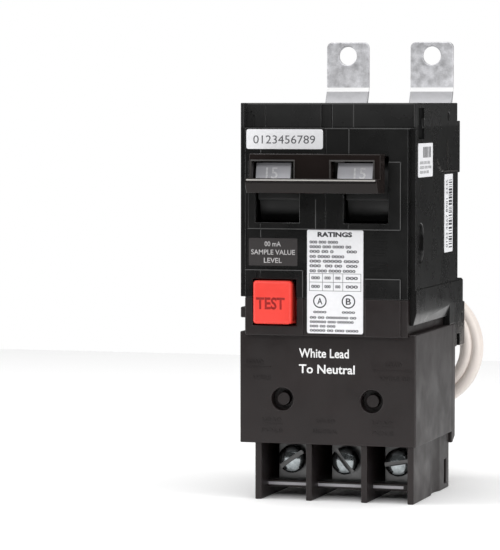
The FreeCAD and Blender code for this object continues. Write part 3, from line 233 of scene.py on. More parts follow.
def painted_lighter_past(tree, colours, axis, start, lift):
    """Colours painted lighter past a place on one axis: painted light, not a colour of the material."""
    mix = tree.nodes.new("ShaderNodeMixRGB")
    mix.blend_type = "ADD"
    mix.inputs["Color2"].default_value = (lift, lift, lift, 1)
    tree.links.new(past(tree, axis, start, 0.3), mix.inputs["Fac"])
    tree.links.new(colours, mix.inputs["Color1"])
    return mix.outputs["Color"]


def plastic(
    name, colour, roughness, contrast=0.2, grain=2200.0, strength=0.25, painted_lift=None, specular=0.5,
):
    """Moulded plastic: fine grain, cloudy colour, patches of duller skin, and a part painted lighter, as
    painted light, where a lift is given.
    """
    material, tree, shader = new_material(name)
    shader.inputs["Specular IOR Level"].default_value = specular
    vector = object_coordinates(tree)
    clouds = noise(tree, vector, 55.0, 4.0)
    colours = ramp(tree, clouds, shade(colour, 1 - contrast), shade(colour, 1 + contrast))
    if painted_lift:
        colours = painted_lighter_past(tree, colours, *painted_lift)
    tree.links.new(colours, shader.inputs["Base Color"])
    dull = noise(tree, vector, 140.0)
    tree.links.new(spread(tree, dull, roughness * 0.85, roughness * 1.2), shader.inputs["Roughness"])
    bump(tree, shader, noise(tree, vector, grain, 2.0), strength, 0.00002)
    return material


def painted_bend_light(tree, above, below, low, high):
    """The metal as it is above a bend, a darker and plainer copy below it as painted shade, and a painted
    highlight along the bend.
    """
    lower = tree.nodes.new("ShaderNodeMixRGB")
    tree.links.new(past(tree, "Z", low, 0.2), lower.inputs["Fac"])
    tree.links.new(below, lower.inputs["Color1"])
    # The painted highlight along the bend.
    lower.inputs["Color2"].default_value = (0.97, 0.97, 0.97, 1)
    upper = tree.nodes.new("ShaderNodeMixRGB")
    tree.links.new(past(tree, "Z", high, 0.2), upper.inputs["Fac"])
    tree.links.new(lower.outputs["Color"], upper.inputs["Color1"])
    tree.links.new(above, upper.inputs["Color2"])
    return upper.outputs["Color"]


def metal(
    name, colour, roughness, stretch=(1, 1, 1), contrast=0.15, strength=0.2, metallic=1.0, bend=None,
):
    """Mottled metal with drawn lines along the squeezed axis, and, if a bend is given, a painted highlight
    along it with painted shade below.
    """
    material, tree, shader = new_material(name)
    shader.inputs["Metallic"].default_value = metallic
    lines = noise(tree, object_coordinates(tree, stretch), 900.0, 4.0, 0.6)
    blotches = noise(tree, object_coordinates(tree), 420.0, 5.0, 0.65)
    colours = ramp(tree, blotches, shade(colour, 1 - contrast), shade(colour, 1 + contrast))
    if bend:
        # Painted shade below the bend: a darker, plainer copy of the same metal.
        even = ramp(tree, blotches, shade(colour, 0.72), shade(colour, 0.86))
        colours = painted_bend_light(tree, colours, even, *bend)
    tree.links.new(colours, shader.inputs["Base Color"])
    tree.links.new(spread(tree, blotches, roughness * 0.75, roughness * 1.25), shader.inputs["Roughness"])
    bump(tree, shader, lines, strength, 0.00003)
    return material


def paper(name, colour):
    """Label stock: nearly even colour, with a faint fibre grain."""
    material, tree, shader = new_material(name)
    fibres = noise(tree, object_coordinates(tree), 900.0, 3.0)
    tree.links.new(ramp(tree, fibres, shade(colour, 0.95), colour), shader.inputs["Base Color"])
    shader.inputs["Roughness"].default_value = 0.5
    bump(tree, shader, fibres, 0.1, 0.00001)
    return material


def ink(name, colour):
    """Printed ink: matt, slightly uneven."""
    material, tree, shader = new_material(name)
    blots = noise(tree, object_coordinates(tree), 1500.0)
    tree.links.new(ramp(tree, blots, shade(colour, 0.85), shade(colour, 1.15)), shader.inputs["Base Color"])
    shader.inputs["Roughness"].default_value = 0.6
    return material


MATERIALS = {
    # Painted light: the case is painted lighter above Z 104.5, on the top of the shoulder.
    "case_black": plastic("case_black", (0.0072, 0.0072, 0.0071), 0.28, 0.35, painted_lift=("Z", 104.5, 0.012)),
    # Painted light: the module's right side, past X 24.75, is painted lighter.
    "module_brown": plastic(
        "module_brown", (0.0108, 0.0064, 0.0062), 0.45, 0.18, 1500.0, 0.4, ("X", 24.75, 0.015),
    ),
    "handle_black": plastic("handle_black", (0.0045, 0.0045, 0.0045), 0.5),
    "face_grey": plastic("face_grey", (0.62, 0.62, 0.66), 0.5, 0.2),
    "tie_gloss": plastic("tie_gloss", (0.0125, 0.0092, 0.0084), 0.14, 0.25, 900.0, 0.06, specular=0.22),
    "button_red": plastic("button_red", (0.86, 0.050, 0.034), 0.42, 0.05),
    "tin_plate": metal(
        "tin_plate", (0.55, 0.55, 0.57), 0.45, (1, 1, 0.08), 0.36, 0.25, 0.3, (114.4, 115.6),
    ),
    "lug_metal": metal("lug_metal", (0.16, 0.16, 0.16), 0.38, (1, 1, 0.1)),
    "screw_zinc": metal("screw_zinc", (0.34, 0.37, 0.38), 0.14, (1, 1, 1), 0.5),
    "plate_steel": metal("plate_steel", (0.45, 0.45, 0.45), 0.35),
    "steel": metal("steel", (0.30, 0.30, 0.30), 0.4),
    "copper": metal("copper", (0.75, 0.38, 0.22), 0.3),
    "contact_silver": metal("contact_silver", (0.80, 0.80, 0.78), 0.3),
    "trip_plastic": plastic("trip_plastic", (0.5, 0.5, 0.44), 0.5),
    "board_green": plastic("board_green", (0.02, 0.13, 0.05), 0.35),
    "component_dark": plastic("component_dark", (0.04, 0.04, 0.05), 0.4),
    "ferrite": plastic("ferrite", (0.07, 0.07, 0.08), 0.5),
    "lead_insulation": plastic("lead_insulation", (0.02, 0.02, 0.02), 0.4),
    "wire_white": plastic("wire_white", (0.77, 0.70, 0.65), 0.36, 0.04, 1200.0, 0.1),
    "bushing_nylon": plastic("bushing_nylon", (0.02, 0.02, 0.02), 0.4),
    "label_paper": paper("label_paper", (0.84, 0.84, 0.86)),
}

# Finishes that are no slot's own. The sheens are painted highlights: soft light alone leaves the
# edges dull, so lighter strips match the look. They aren't features of the object.
LEVEL_STOCK = paper("level_stock", (0.032, 0.028, 0.028))
BLACK_INK = ink("black_ink", (0.035, 0.035, 0.04))
GREY_INK = ink("grey_ink", (0.10, 0.10, 0.11))
WHITE_INK = ink("white_ink", (0.80, 0.80, 0.80))
FACE_INK = ink("face_ink", (0.84, 0.84, 0.86))
LEVEL_INK = ink("level_ink", (0.46, 0.45, 0.45))
# Painted shade: the darker red inside the button's sunken letters.
LETTER_SHADE = plastic("letter_painted_shade", (0.50, 0.018, 0.016), 0.5)
EDGE_SHEEN = plastic("edge_sheen", (0.42, 0.41, 0.39), 0.25)
SILL_SHEEN = plastic("sill_sheen", (0.42, 0.41, 0.43), 0.25)
LINE_SHEEN = plastic("line_sheen", (0.080, 0.080, 0.080), 0.3)
RIM_SHEEN = plastic("rim_sheen", (0.045, 0.042, 0.040), 0.25)
LIP_SHEEN = plastic("lip_sheen", (0.014, 0.012, 0.012), 0.25)
# Painted shade: the near-black walls and floor of the slit in the right side.
SLIT_SHADE = plastic("slit_painted_shade", (0.0015, 0.0015, 0.0015), 0.8, specular=0.1)
RIVET_DARK = metal("rivet_dark", (0.030, 0.030, 0.030), 0.45)


# Pieces -------------------------------------------------------------------------------------------

def finish_piece(mesh, name, body, materials, replaced=()):
    """Link a mesh as a piece that rides on a body and takes the materials given."""
    piece = bpy.data.objects.new(name, mesh)
    bpy.context.scene.collection.objects.link(piece)
    for material in materials:
        mesh.materials.append(material)
    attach(piece, body)
    if replaced:
        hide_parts(*replaced)
    return piece


def smooth_by_weight(piece):
    """Smooth shading that keeps the large faces flat."""
    for polygon in piece.data.polygons:
        polygon.use_smooth = True
    weighted = piece.modifiers.new("weighted", "WEIGHTED_NORMAL")
    weighted.keep_sharp = True
    weighted.weight = 90


# Degrees between two faces past which an edge stays sharp: away from a rounding, and beside one.
CREASE, STEEP = 24.0, 50.0


def clean_shape(node):
    """A CAD node's mesh with doubled points merged and flat neighbours joined into one face."""
    shape = bmesh.new()
    shape.from_mesh(nodes[node].data)
    bmesh.ops.remove_doubles(shape, verts=shape.verts, dist=0.003 * MM)
    bmesh.ops.dissolve_limit(
        shape, angle_limit=math.radians(1.0), use_dissolve_boundaries=False,
        verts=shape.verts, edges=shape.edges,
    )
    return shape


def round_sharp(shape, width, segments=2, least=40.0):
    """Round every outward edge sharper than the least angle, then crease what is still sharp."""
    sharp = [
        edge for edge in shape.edges
        if edge.is_manifold and edge.is_convex and edge.calc_face_angle(0) > math.radians(least)
    ]
    rounded = bmesh.ops.bevel(
        shape, geom=sharp, offset=width * MM, offset_type="OFFSET",
        segments=segments, profile=0.5, affect="EDGES", clamp_overlap=False,
    )
    new_faces = set(rounded["faces"])
    for edge in shape.edges:
        angle = math.degrees(edge.calc_face_angle(math.pi))
        if angle > STEEP or (angle > CREASE and not new_faces.intersection(edge.link_faces)):
            edge.smooth = False


def recast(node, width, segments=2, material=None, least=40.0):
    """A CAD node again with its sharp edges rounded."""
    shape = clean_shape(node)
    round_sharp(shape, width, segments, least)
    mesh = bpy.data.meshes.new(node + "_skin")
    shape.to_mesh(mesh)
    shape.free()
    slot = SLOT_OF[node]
    piece = finish_piece(
        mesh, node + "_skin", BODY_OF[node], [material or MATERIALS[slot]], [node],
    )
    smooth_by_weight(piece)
    return piece


def dress_nodes():
    """Every carried-over CAD node gets its slot's material."""
    for name, node in nodes.items():
        node.data.materials.clear()
        node.data.materials.append(MATERIALS[SLOT_OF[name]])


def round_shells():
    for node in ("left_pole_cover", "left_pole_base", "right_pole_cover"):
        recast(node, 0.22)
    side_slit(recast("right_pole_base", 0.22))
    recast("load_module_housing", 0.3)
    recast("load_module_back", 0.3)
    recast("handle_tie", 0.3, 3)
    for side in ("left", "right"):
        recast(side + "_handle", 0.3)
        recast(side + "_line_tab", 0.35, 3, least=15.0)
    recast("rating_faces", 0.1)
    recast("case_rivets", 0.3, 2, RIVET_DARK)
    for side in ("left", "neutral", "right"):
        recast(side + "_load_lug", 0.25)
        recast(side + "_clamp_plate", 0.2)


# Flat artwork: labels, print and low relief --------------------------------------------------------

class Artwork:
    """Polygons drawn on a plane, in millimetres, each with a material and a height above the plane."""

    def __init__(self, place):
        self.place = place
        self.points = []
        self.faces = []
        self.inks = []

    def polygon(self, outline, height, ink_index):
        start = len(self.points)
        self.points += [self.place(x, y, height) for x, y in outline]
        self.faces.append(list(range(start, start + len(outline))))
        self.inks.append(ink_index)

    def bar(self, left, right, low, high, height, ink_index):
        self.polygon([(left, low), (right, low), (right, high), (left, high)], height, ink_index)

    def ring(self, x, y, outer, inner, height, ink_index, steps=32):
        turns = [2 * math.pi * k / steps for k in range(steps)]
        for first, second in zip(turns, turns[1:] + turns[:1]):
            self.polygon([
                (x + inner * math.cos(first), y + inner * math.sin(first)),
                (x + outer * math.cos(first), y + outer * math.sin(first)),
                (x + outer * math.cos(second), y + outer * math.sin(second)),
                (x + inner * math.cos(second), y + inner * math.sin(second)),
            ], height, ink_index)

    def words(self, text, left, right, low, high, height, ink_index, heavy=0.0, rise=None):
        """Lettering stretched to fill a box: flat, or with walls down to the plane if rise is given."""
        data = bpy.data.curves.new("lettering", "FONT")
        data.body = text
        data.size = 1.0
        data.offset = heavy
        data.resolution_u = 3
        holder = bpy.data.objects.new("lettering", data)
        bpy.context.scene.collection.objects.link(holder)
        mesh = bpy.data.meshes.new_from_object(holder)
        bpy.data.objects.remove(holder)
        bpy.data.curves.remove(data)
        xs = [v.co.x for v in mesh.vertices]
        ys = [v.co.y for v in mesh.vertices]
        across = (right - left) / (max(xs) - min(xs))
        up = (high - low) / (max(ys) - min(ys))
        start = len(self.points)
        flat = [
            (left + (v.co.x - min(xs)) * across, low + (v.co.y - min(ys)) * up)
            for v in mesh.vertices
        ]
        self.points += [self.place(x, y, height) for x, y in flat]
        for polygon in mesh.polygons:
            self.faces.append([start + index for index in polygon.vertices])
            self.inks.append(ink_index)
        if rise is not None:
            self.walls(mesh, flat, start, height - rise, ink_index)
        bpy.data.meshes.remove(mesh)

    def walls(self, mesh, flat, start, height, ink_index):
        """Side walls under the outline of raised lettering."""
        used = {}
        for polygon in mesh.polygons:
            for key in polygon.edge_keys:
                used[key] = used.get(key, 0) + 1
        foot = len(self.points)
        self.points += [self.place(x, y, height) for x, y in flat]
        for polygon in mesh.polygons:
            corners = list(polygon.vertices)
            for first, second in zip(corners, corners[1:] + corners[:1]):
                if used[tuple(sorted((first, second)))] == 1:
                    self.faces.append([start + second, start + first, foot + first, foot + second])
                    self.inks.append(ink_index)

    def slab(self, left, right, low, high, corner, thick, ink_index, steps=5):
        """A thin sheet with rounded corners, its back on the plane."""
        outline = []
        centres = (
            (right - corner, high - corner, 0), (left + corner, high - corner, 90),
            (left + corner, low + corner, 180), (right - corner, low + corner, 270),
        )
        for x, y, first in centres:
            for k in range(steps + 1):
                angle = math.radians(first + 90 * k / steps)
                outline.append((x + corner * math.cos(angle), y + corner * math.sin(angle)))
        self.polygon(outline, thick, ink_index)
        start = len(self.points) - len(outline)
        foot = len(self.points)
        self.points += [self.place(x, y, 0) for x, y in outline]
        count = len(outline)
        for k in range(count):
            following = (k + 1) % count
            self.faces.append([start + following, start + k, foot + k, foot + following])
            self.inks.append(ink_index)

    def join(self, other):
        """Take in another sheet's faces."""
        shift = len(self.points)
        self.points += other.points
        self.faces += [[shift + index for index in face] for face in other.faces]
        self.inks += other.inks

    def piece(self, name, body, slot, materials, replaced=()):
        mesh = bpy.data.meshes.new(name)
        mesh.from_pydata([tuple(p) for p in self.points], [], self.faces)
        for polygon, index in zip(mesh.polygons, self.inks):
            polygon.material_index = index
        mesh.update()
        return finish_piece(mesh, name, body, materials, replaced)


def front_plane(depth):
    """Drawing on a face that looks forward: x across and z up, height towards the viewer."""
    return lambda x, z, height: at(x, depth - height, z)


def side_plane(x):
    """Drawing on the right side: depth across and z up, height outwards."""
    return lambda depth, z, height: at(x + height, depth, z)


PAPER_THICK = 0.1
INK_LIFT = 0.115


def rating_label():
    """A tall label: a heading, rows of figures, a small table, two round marks and more rows."""
    art = Artwork(front_plane(NOSE))
    art.slab(-5.3, 10.8, 47.3, 76.1, 0.5, PAPER_THICK, 0)
    art.words("RATINGS", -2.3, 7.6, 74.1, 75.5, INK_LIFT, 1, 0.05)
    rows = (
        ("000 000 0000", 73.1, 8.2), ("0000 000 0000 00", 71.8, 12.0), ("000 00 0       000", 70.5, 13.6),
        ("00 0000 0000", 69.1, 10.0), ("000 00000 0000", 67.8, 14.2), ("000  00 00  000", 66.5, 13.8),
        ("00 000 0000 0000", 65.1, 13.2),
    )
    for text, top, width in rows:
        art.words(text, -4.6, -4.6 + width, top - 0.85, top, INK_LIFT, 2, 0.045)
    for z in (63.9, 61.5, 59.1):
        art.bar(-4.7, 10.2, z, z + 0.12, INK_LIFT, 2)
    for x in (-4.7, -0.9, 2.2, 4.9, 10.1):
        art.bar(x, x + 0.12, 59.1, 64.0, INK_LIFT, 2)
    for z in (62.3, 59.9):
        for left, right in ((-4.1, -1.6), (-0.3, 1.5), (2.8, 4.3), (5.8, 9.3)):
            art.words("000", left, right, z, z + 0.9, INK_LIFT, 2, 0.045)
    for x in (-1.6, 6.6):
        art.ring(x, 56.3, 1.95, 1.6, INK_LIFT, 1)
        art.words("A" if x < 0 else "B", x - 0.75, x + 0.75, 55.4, 57.2, INK_LIFT, 1, 0.02)
        art.words("0000", x - 1.9, x + 1.9, 52.9, 53.6, INK_LIFT, 2, 0.045)
    for text, top, width in (
        ("00 00 0000000 00", 52.1, 13.4), ("000000 000 000000", 50.9, 12.6), ("000 00 000", 49.7, 7.4),
        ("00000 00 000 0000", 48.5, 14.0),
    ):
        art.words(text, -4.5, -4.5 + width, top - 0.75, top, INK_LIFT, 2, 0.045)
    return art.piece(
        "rating_label", "case", "label_paper", [MATERIALS["label_paper"], BLACK_INK, GREY_INK],
        ["printed_labels"],
    )


def serial_label():
    art = Artwork(front_plane(NOSE))
    art.slab(-22.9, -0.8, 98.4, 103.9, 0.6, PAPER_THICK, 0)
    art.words("0123456789", -20.9, -3.0, 99.9, 102.2, INK_LIFT, 1)
    return art.piece("serial_label", "case", "label_paper", [MATERIALS["label_paper"], GREY_INK])


def level_label():
    art = Artwork(front_plane(NOSE))
    art.slab(-22.2, -8.1, 65.9, 73.6, 0.3, PAPER_THICK, 0)
    art.words("00 mA", -17.6, -12.9, 71.3, 72.7, INK_LIFT, 1, 0.01)
    art.words("SAMPLE VALUE", -21.5, -8.8, 69.0, 70.4, INK_LIFT, 1, 0.01)
    art.words("LEVEL", -17.8, -12.6, 66.7, 68.1, INK_LIFT, 1, 0.01)
    return art.piece("level_label", "case", "label_paper", [LEVEL_STOCK, LEVEL_INK])


def code_label():
    """A small label on the side: a block of short stripes above narrow lines of figures."""
    art = Artwork(side_plane(SIDE))
    art.slab(2.7, 19.8, 90.6, 100.0, 0.6, PAPER_THICK, 0)
    stripes = random.Random(5)
    depth = 8.2
    while depth < 17.4:
        width = stripes.choice((0.25, 0.45, 0.7))
        art.bar(depth, depth + width, 96.0, 99.0, INK_LIFT, 1)
        depth += width + stripes.choice((0.3, 0.5))
    for row, width in ((94.2, 12.0), (92.9, 13.6), (91.6, 10.5)):
        art.words("0000 000 000", 4.4, 4.4 + width, row, row + 0.8, INK_LIFT, 1)
    return art.piece("code_label", "case", "label_paper", [MATERIALS["label_paper"], BLACK_INK])


def strip_label():
    """A tall narrow label on the side: stripes across its rear half, figures up its front half."""
    low, high = 68.4, 90.8
    art = Artwork(side_plane(SIDE))
    art.slab(34.6, 44.8, low, high, 0.5, PAPER_THICK, 0)
    stripes = random.Random(9)
    z = low + 1.2
    while z < high - 1.4:
        width = stripes.choice((0.2, 0.35, 0.6))
        art.bar(39.8, 43.9, z, z + width, INK_LIFT, 1)
        z += width + stripes.choice((0.25, 0.4, 0.55))
    figures = Artwork(lambda x, y, height: at(SIDE + height, 38.6 - y, x))
    figures.words("0123 4567 8901 2345", low + 1.4, high - 1.6, 0.0, 2.3, INK_LIFT, 1)
    art.join(figures)
    return art.piece("strip_label", "case", "label_paper", [MATERIALS["label_paper"], BLACK_INK])


def housing_print():
    """White words printed on the load module's front."""
    art = Artwork(front_plane(MODULE))
    art.words("White Lead", -8.2, 6.2, 40.3, 42.85, 0.02, 0, 0.018)
    art.words("To Neutral", -8.2, 7.9, 35.9, 38.4, 0.02, 0, 0.018)
    return art.piece("housing_print", "case", "label_paper", [WHITE_INK])


def housing_legends():
    """Moulded legends on the load module's front, barely proud of it, some with a rule under them."""
    proud = 0.12
    art = Artwork(front_plane(MODULE))
    for left, right, low, high, text in (
        (-23.6, -18.6, 38.3, 39.5, "LOAD"), (-21.8, -16.4, 33.9, 35.1, "WIRE"),
        (16.6, 21.2, 38.3, 39.5, "LOAD"), (14.9, 23.6, 34.4, 35.6, "WIRE 00"),
        (-18.9, -13.4, 22.2, 23.3, "LOAD"), (-19.2, -13.0, 19.2, 20.3, "POLE"),
        (-3.2, 2.2, 22.2, 23.3, "LOAD"), (-4.2, 3.0, 19.2, 20.3, "NEUTRAL"),
        (13.0, 18.6, 22.2, 23.3, "LOAD"), (12.8, 19.0, 19.2, 20.3, "POLE"),
    ):
        art.words(text, left, right, low, high, proud, 0, 0.01, proud)
    rules = ((-24.2, -16.4, 37.2), (12.9, 24.2, 37.0), (-19.2, -13.0, 21.3), (12.8, 19.0, 21.3))
    for left, right, low in rules:
        art.slab(left, right, low, low + 0.3, 0.1, proud, 0, 2)
    return art.piece("housing_legends", "case", "module_brown", [MATERIALS["module_brown"]])


def face_relief():
    """Low ribs on the nose: a short stack, a stub on each side of the level label, two over the button."""
    proud = 0.2
    art = Artwork(front_plane(NOSE))
    for z in (74.3, 72.6, 71.1, 69.5, 66.8, 65.2):
        art.slab(12.9, 17.5, z - 0.25, z + 0.25, 0.2, proud, 0, 2)
    art.slab(-23.2, -22.4, 68.7, 69.1, 0.15, proud, 0, 2)
    art.slab(-7.9, -5.5, 68.7, 69.1, 0.15, proud, 0, 2)
    guides = Artwork(front_plane(RAISED))
    for x in (-20.3, -9.9):
        guides.slab(x, x + 0.5, 62.4, 64.5, 0.2, proud, 0, 2)
    art.join(guides)
    return art.piece("face_relief", "case", "case_black", [MATERIALS["case_black"]])


def ridge(art, points, width, proud, ink_index):
    """A low square ridge along a line of points."""
    for first, second in zip(points, points[1:]):
        along = Vector((second[0] - first[0], second[1] - first[1])).normalized()
        across = Vector((-along.y, along.x)) * width / 2
        reach = along * width / 2
        outline = [
            Vector(first) - reach - across, Vector(second) + reach - across,
            Vector(second) + reach + across, Vector(first) - reach + across,
        ]
        start = len(art.points)
        art.points += [art.place(corner.x, corner.y, height) for height in (proud, 0) for corner in outline]
        faces = [(0, 1, 2, 3)] + [((k + 1) % 4, k, k + 4, (k + 1) % 4 + 4) for k in range(4)]
        art.faces += [[start + index for index in face] for face in faces]
        art.inks += [ink_index] * len(faces)


def edge_lines():
    """Painted highlights on the nose and shoulder, 0.26 mm wide, that match the look.

    They stand for the raised panels' outlines, the top edges and the cases' seams. The upright at
    X -2.9 has no edge or seam of the CAD under it. The nose's line runs 0.6 mm past the nose's right
    side, the shoulder's bridges the groove between the poles, and the outlines overhang by 0.06 mm.
    """
    thin, proud = 0.26, 0.012
    level = (  # depth, left, right, height
        (RAISED, -22.4, 21.5, 76.1), (RAISED, 18.2, 21.5, 94.8), (RAISED, -23.2, -6.4, 64.6),
        (RAISED, 11.3, 21.5, 62.5), (NOSE, -0.3, 24.0, 104.0), (SHOULDER, -24.0, 24.0, 110.8),
    )
    upright = (  # depth, left, low, high
        (RAISED, 21.3, 76.1, 95.0), (RAISED, -6.6, 57.2, 64.8), (RAISED, 21.3, 57.2, 62.7),
        (RAISED, -2.9, 76.4, 84.5), (NOSE, 6.5, 97.4, 104.2), (NOSE, -18.9, 73.9, 75.9),
        (NOSE, -18.9, 97.4, 98.3), (SHOULDER, 6.5, 104.5, 110.8),
    )
    lines = [(depth, left, right, z, z + thin) for depth, left, right, z in level]
    lines += [(depth, x, x + thin, low, high) for depth, x, low, high in upright]
    art = Artwork(front_plane(NOSE))
    for depth, left, right, low, high in lines:
        line = Artwork(front_plane(depth))
        line.bar(left, right, low, high, proud, 0)
        art.join(line)
    return art.piece("edge_lines", "case", "case_black", [LINE_SHEEN])


def shoulder_relief():
    """A bent ridge in the shoulder's left corner."""
    art = Artwork(front_plane(SHOULDER))
    ridge(art, [(-24.3, 108.8), (-22.9, 108.7), (-22.2, 107.6), (-22.2, 104.6)], 0.35, 0.2, 0)
    return art.piece("shoulder_relief", "case", "case_black", [MATERIALS["case_black"]])


def side_relief():
    """Low ridges high on the right side: one curves down and runs to the back, one stands on it. Their
    lighter finish is a painted highlight.
    """
    art = Artwork(side_plane(SIDE))
    ridge(art, [(25.8, 95.0), (27.5, 93.4), (30.2, 92.2), (33.8, 91.7), (50.6, 91.5)], 0.4, 0.22, 0)
    ridge(art, [(38.4, 92.0), (38.4, 100.2)], 0.35, 0.15, 0)
    return art.piece("side_relief", "case", "case_black", [RIM_SHEEN])


def window_frames():
    """Raised rims round the tops and sides of the tie's two windows, in a lighter finish that is a painted
    highlight.
    """
    outer_proud, inner_proud, rim = 0.2, 0.05, 0.42
    ledge, top, half = 90.55, 95.2, 6.0
    art = Artwork(front_plane(TIE))
    for middle in (-12.7, 9.9):
        left, right = middle - half, middle + half
        for outline in (
            [(left - rim, ledge), (left, ledge), (left, top), (left - rim, top + rim)],
            [(left - rim, top + rim), (left, top), (right, top), (right + rim, top + rim)],
            [(right, ledge), (right + rim, ledge), (right + rim, top + rim), (right, top)],
        ):
            start = len(art.points)
            inner = {(left, ledge), (left, top), (right, top), (right, ledge)}
            art.points += [
                art.place(x, z, inner_proud if (x, z) in inner else outer_proud) for x, z in outline
            ]
            art.faces.append([start + index for index in range(4)])
            art.inks.append(0)
    return art.piece("window_frames", "handles", "tie_gloss", [RIM_SHEEN])


def ledge_sheen():
    """Painted strips on the tie: a light one along its ledge, and a dark one for the lip under it."""
    art = Artwork(front_plane(LEDGE))
    low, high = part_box("handle_tie")
    left, right = low.x / MM + 0.4, high.x / MM - 0.4
    art.slab(left, right, 89.92, 90.3, 0.1, 0.01, 0, 2)
    art.slab(left, right, 89.2, 89.75, 0.1, 0.01, 1, 2)
    return art.piece("ledge_sheen", "handles", "tie_gloss", [EDGE_SHEEN, LIP_SHEEN])


def sill_sheen():
    """A painted light strip along the sill of the terminal bays. It runs through the barrier legs."""
    art = Artwork(front_plane(SILL))
    low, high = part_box("load_module_housing")
    inset = 5.5
    art.slab(low.x / MM + inset, high.x / MM - inset, 3.4, 4.2, 0.1, 0.02, 0, 2)
    return art.piece("sill_sheen", "case", "module_brown", [SILL_SHEEN])


def side_slit(piece):
    """A shallow recess at the top front of the right side, its faces painted near-black as shade. The CAD
    shell doesn't have it.
    """
    deep, outside = 0.4, 1.2
    middle_depth, middle_z = 6.5, 105.5
    wide, tall = 6.6, 8.6
    middle = Matrix.Translation(at(SIDE + (outside - deep) / 2, middle_depth, middle_z))
    cutter = block_mesh("slit", (deep + outside, wide, tall), middle, SLIT_SHADE)
    piece.modifiers.clear()
    boolean_less(piece, cutter)
    smooth_by_weight(piece)


def rating_digits():
    """The digits on the two grey faces, in the plane of the handles' tips."""
    lift = math.radians(13.0)
    pivot_depth, pivot_z, reach = 14.0, 86.0, 23.0

    def place(x, rise, height):
        out = reach + height
        depth = pivot_depth - out * math.cos(lift) + rise * math.sin(lift)
        return at(x, depth, pivot_z + out * math.sin(lift) + rise * math.cos(lift))

    art = Artwork(place)
    for middle in (-13.7, 11.4):
        art.words("15", middle - 1.7, middle + 1.7, -0.9, 2.3, 0.04, 0, 0.01)
    return art.piece("rating_digits", "handles", "face_grey", [FACE_INK])


# Turned and moulded pieces -------------------------------------------------------------------------

def boolean_less(piece, cutter_mesh):
    """Take a mesh away from a piece for good."""
    cutter = bpy.data.objects.new("cutter", cutter_mesh)
    bpy.context.scene.collection.objects.link(cutter)
    step = piece.modifiers.new("less", "BOOLEAN")
    step.operation = "DIFFERENCE"
    step.solver = "EXACT"
    step.object = cutter
    step.material_mode = "TRANSFER"
    bpy.context.view_layer.update()
    graph = bpy.context.evaluated_depsgraph_get()
    result = bpy.data.meshes.new_from_object(piece.evaluated_get(graph))
    piece.modifiers.remove(step)
    bpy.data.objects.remove(cutter)
    old = piece.data
    piece.data = result
    bpy.data.meshes.remove(old)


def closed_words(text, left, right, low, high, plane, near, far):
    """Lettering as a closed solid between two heights, as a cutter."""
    art = Artwork(plane)
    art.words(text, left, right, low, high, far, 0, 0.03, far - near)
    shape = bmesh.new()
    mesh = bpy.data.meshes.new("cutter")
    mesh.from_pydata([tuple(p) for p in art.points], [], art.faces)
    shape.from_mesh(mesh)
    bmesh.ops.remove_doubles(shape, verts=shape.verts, dist=0.001 * MM)
    borders = [edge for edge in shape.edges if len(edge.link_faces) == 1]
    bmesh.ops.holes_fill(shape, edges=borders, sides=0)
    bmesh.ops.recalc_face_normals(shape, faces=shape.faces)
    shape.to_mesh(mesh)
    shape.free()
    return mesh


# The CAD's button is too wide, so its skin is narrowed towards its left edge.
BUTTON_NARROWED = 0.935


def test_button():
    """The red button with well rounded edges and sunken letters, painted a darker red inside as shade."""
    shape = clean_shape("test_button")
    front = min(v.co.y for v in shape.verts)
    corner_angle = 1.0  # radians between the faces that meet there
    around = [
        edge for edge in shape.edges
        if len(edge.link_faces) == 2 and edge.calc_face_angle(0) > corner_angle
        and min(v.co.y for v in edge.verts) < front + 0.1 * MM
    ]
    bmesh.ops.bevel(
        shape, geom=around, offset=0.95 * MM, offset_type="OFFSET",
        segments=5, profile=0.5, affect="EDGES", clamp_overlap=False,
    )
    left = min(v.co.x for v in shape.verts)
    for vertex in shape.verts:
        vertex.co.x = left + (vertex.co.x - left) * BUTTON_NARROWED
    mesh = bpy.data.meshes.new("test_button_skin")
    shape.to_mesh(mesh)
    shape.free()
    piece = finish_piece(
        mesh, "test_button_skin", "test_button", [MATERIALS["button_red"]], ["test_button"],
    )
    sunk, above = 0.35, 0.5
    letters = closed_words("TEST", -19.5, -11.2, 53.8, 57.2, front_plane(BUTTON), -sunk, above)
    letters.materials.append(LETTER_SHADE)
    boolean_less(piece, letters)
    smooth_by_weight(piece)
    return piece


def screw_profile(head_front, radius, tip):
    """Depths and radii of a domed fillister head, a shank ringed with grooves, and a tip."""
    head_back = head_front + 2.6
    shank, root, pitch = 2.4, 2.02, 0.8
    profile = [
        (head_front + 0.02, 0.0), (head_front + 0.06, radius * 0.25), (head_front + 0.18, radius * 0.5),
        (head_front + 0.38, radius * 0.7), (head_front + 0.66, radius * 0.85),
        (head_front + 0.98, radius * 0.95), (head_front + 1.4, radius), (head_back - 0.25, radius),
        (head_back, radius - 0.3), (head_back, shank),
    ]
    depth = head_back + 0.2
    while depth + pitch < tip - 0.4:
        profile += [(depth, shank), (depth + 0.12, shank), (depth + 0.4, root), (depth + 0.68, shank)]
        depth += pitch
    return profile + [(tip - 0.4, 2.3), (tip, 1.8), (tip, 0.0)]


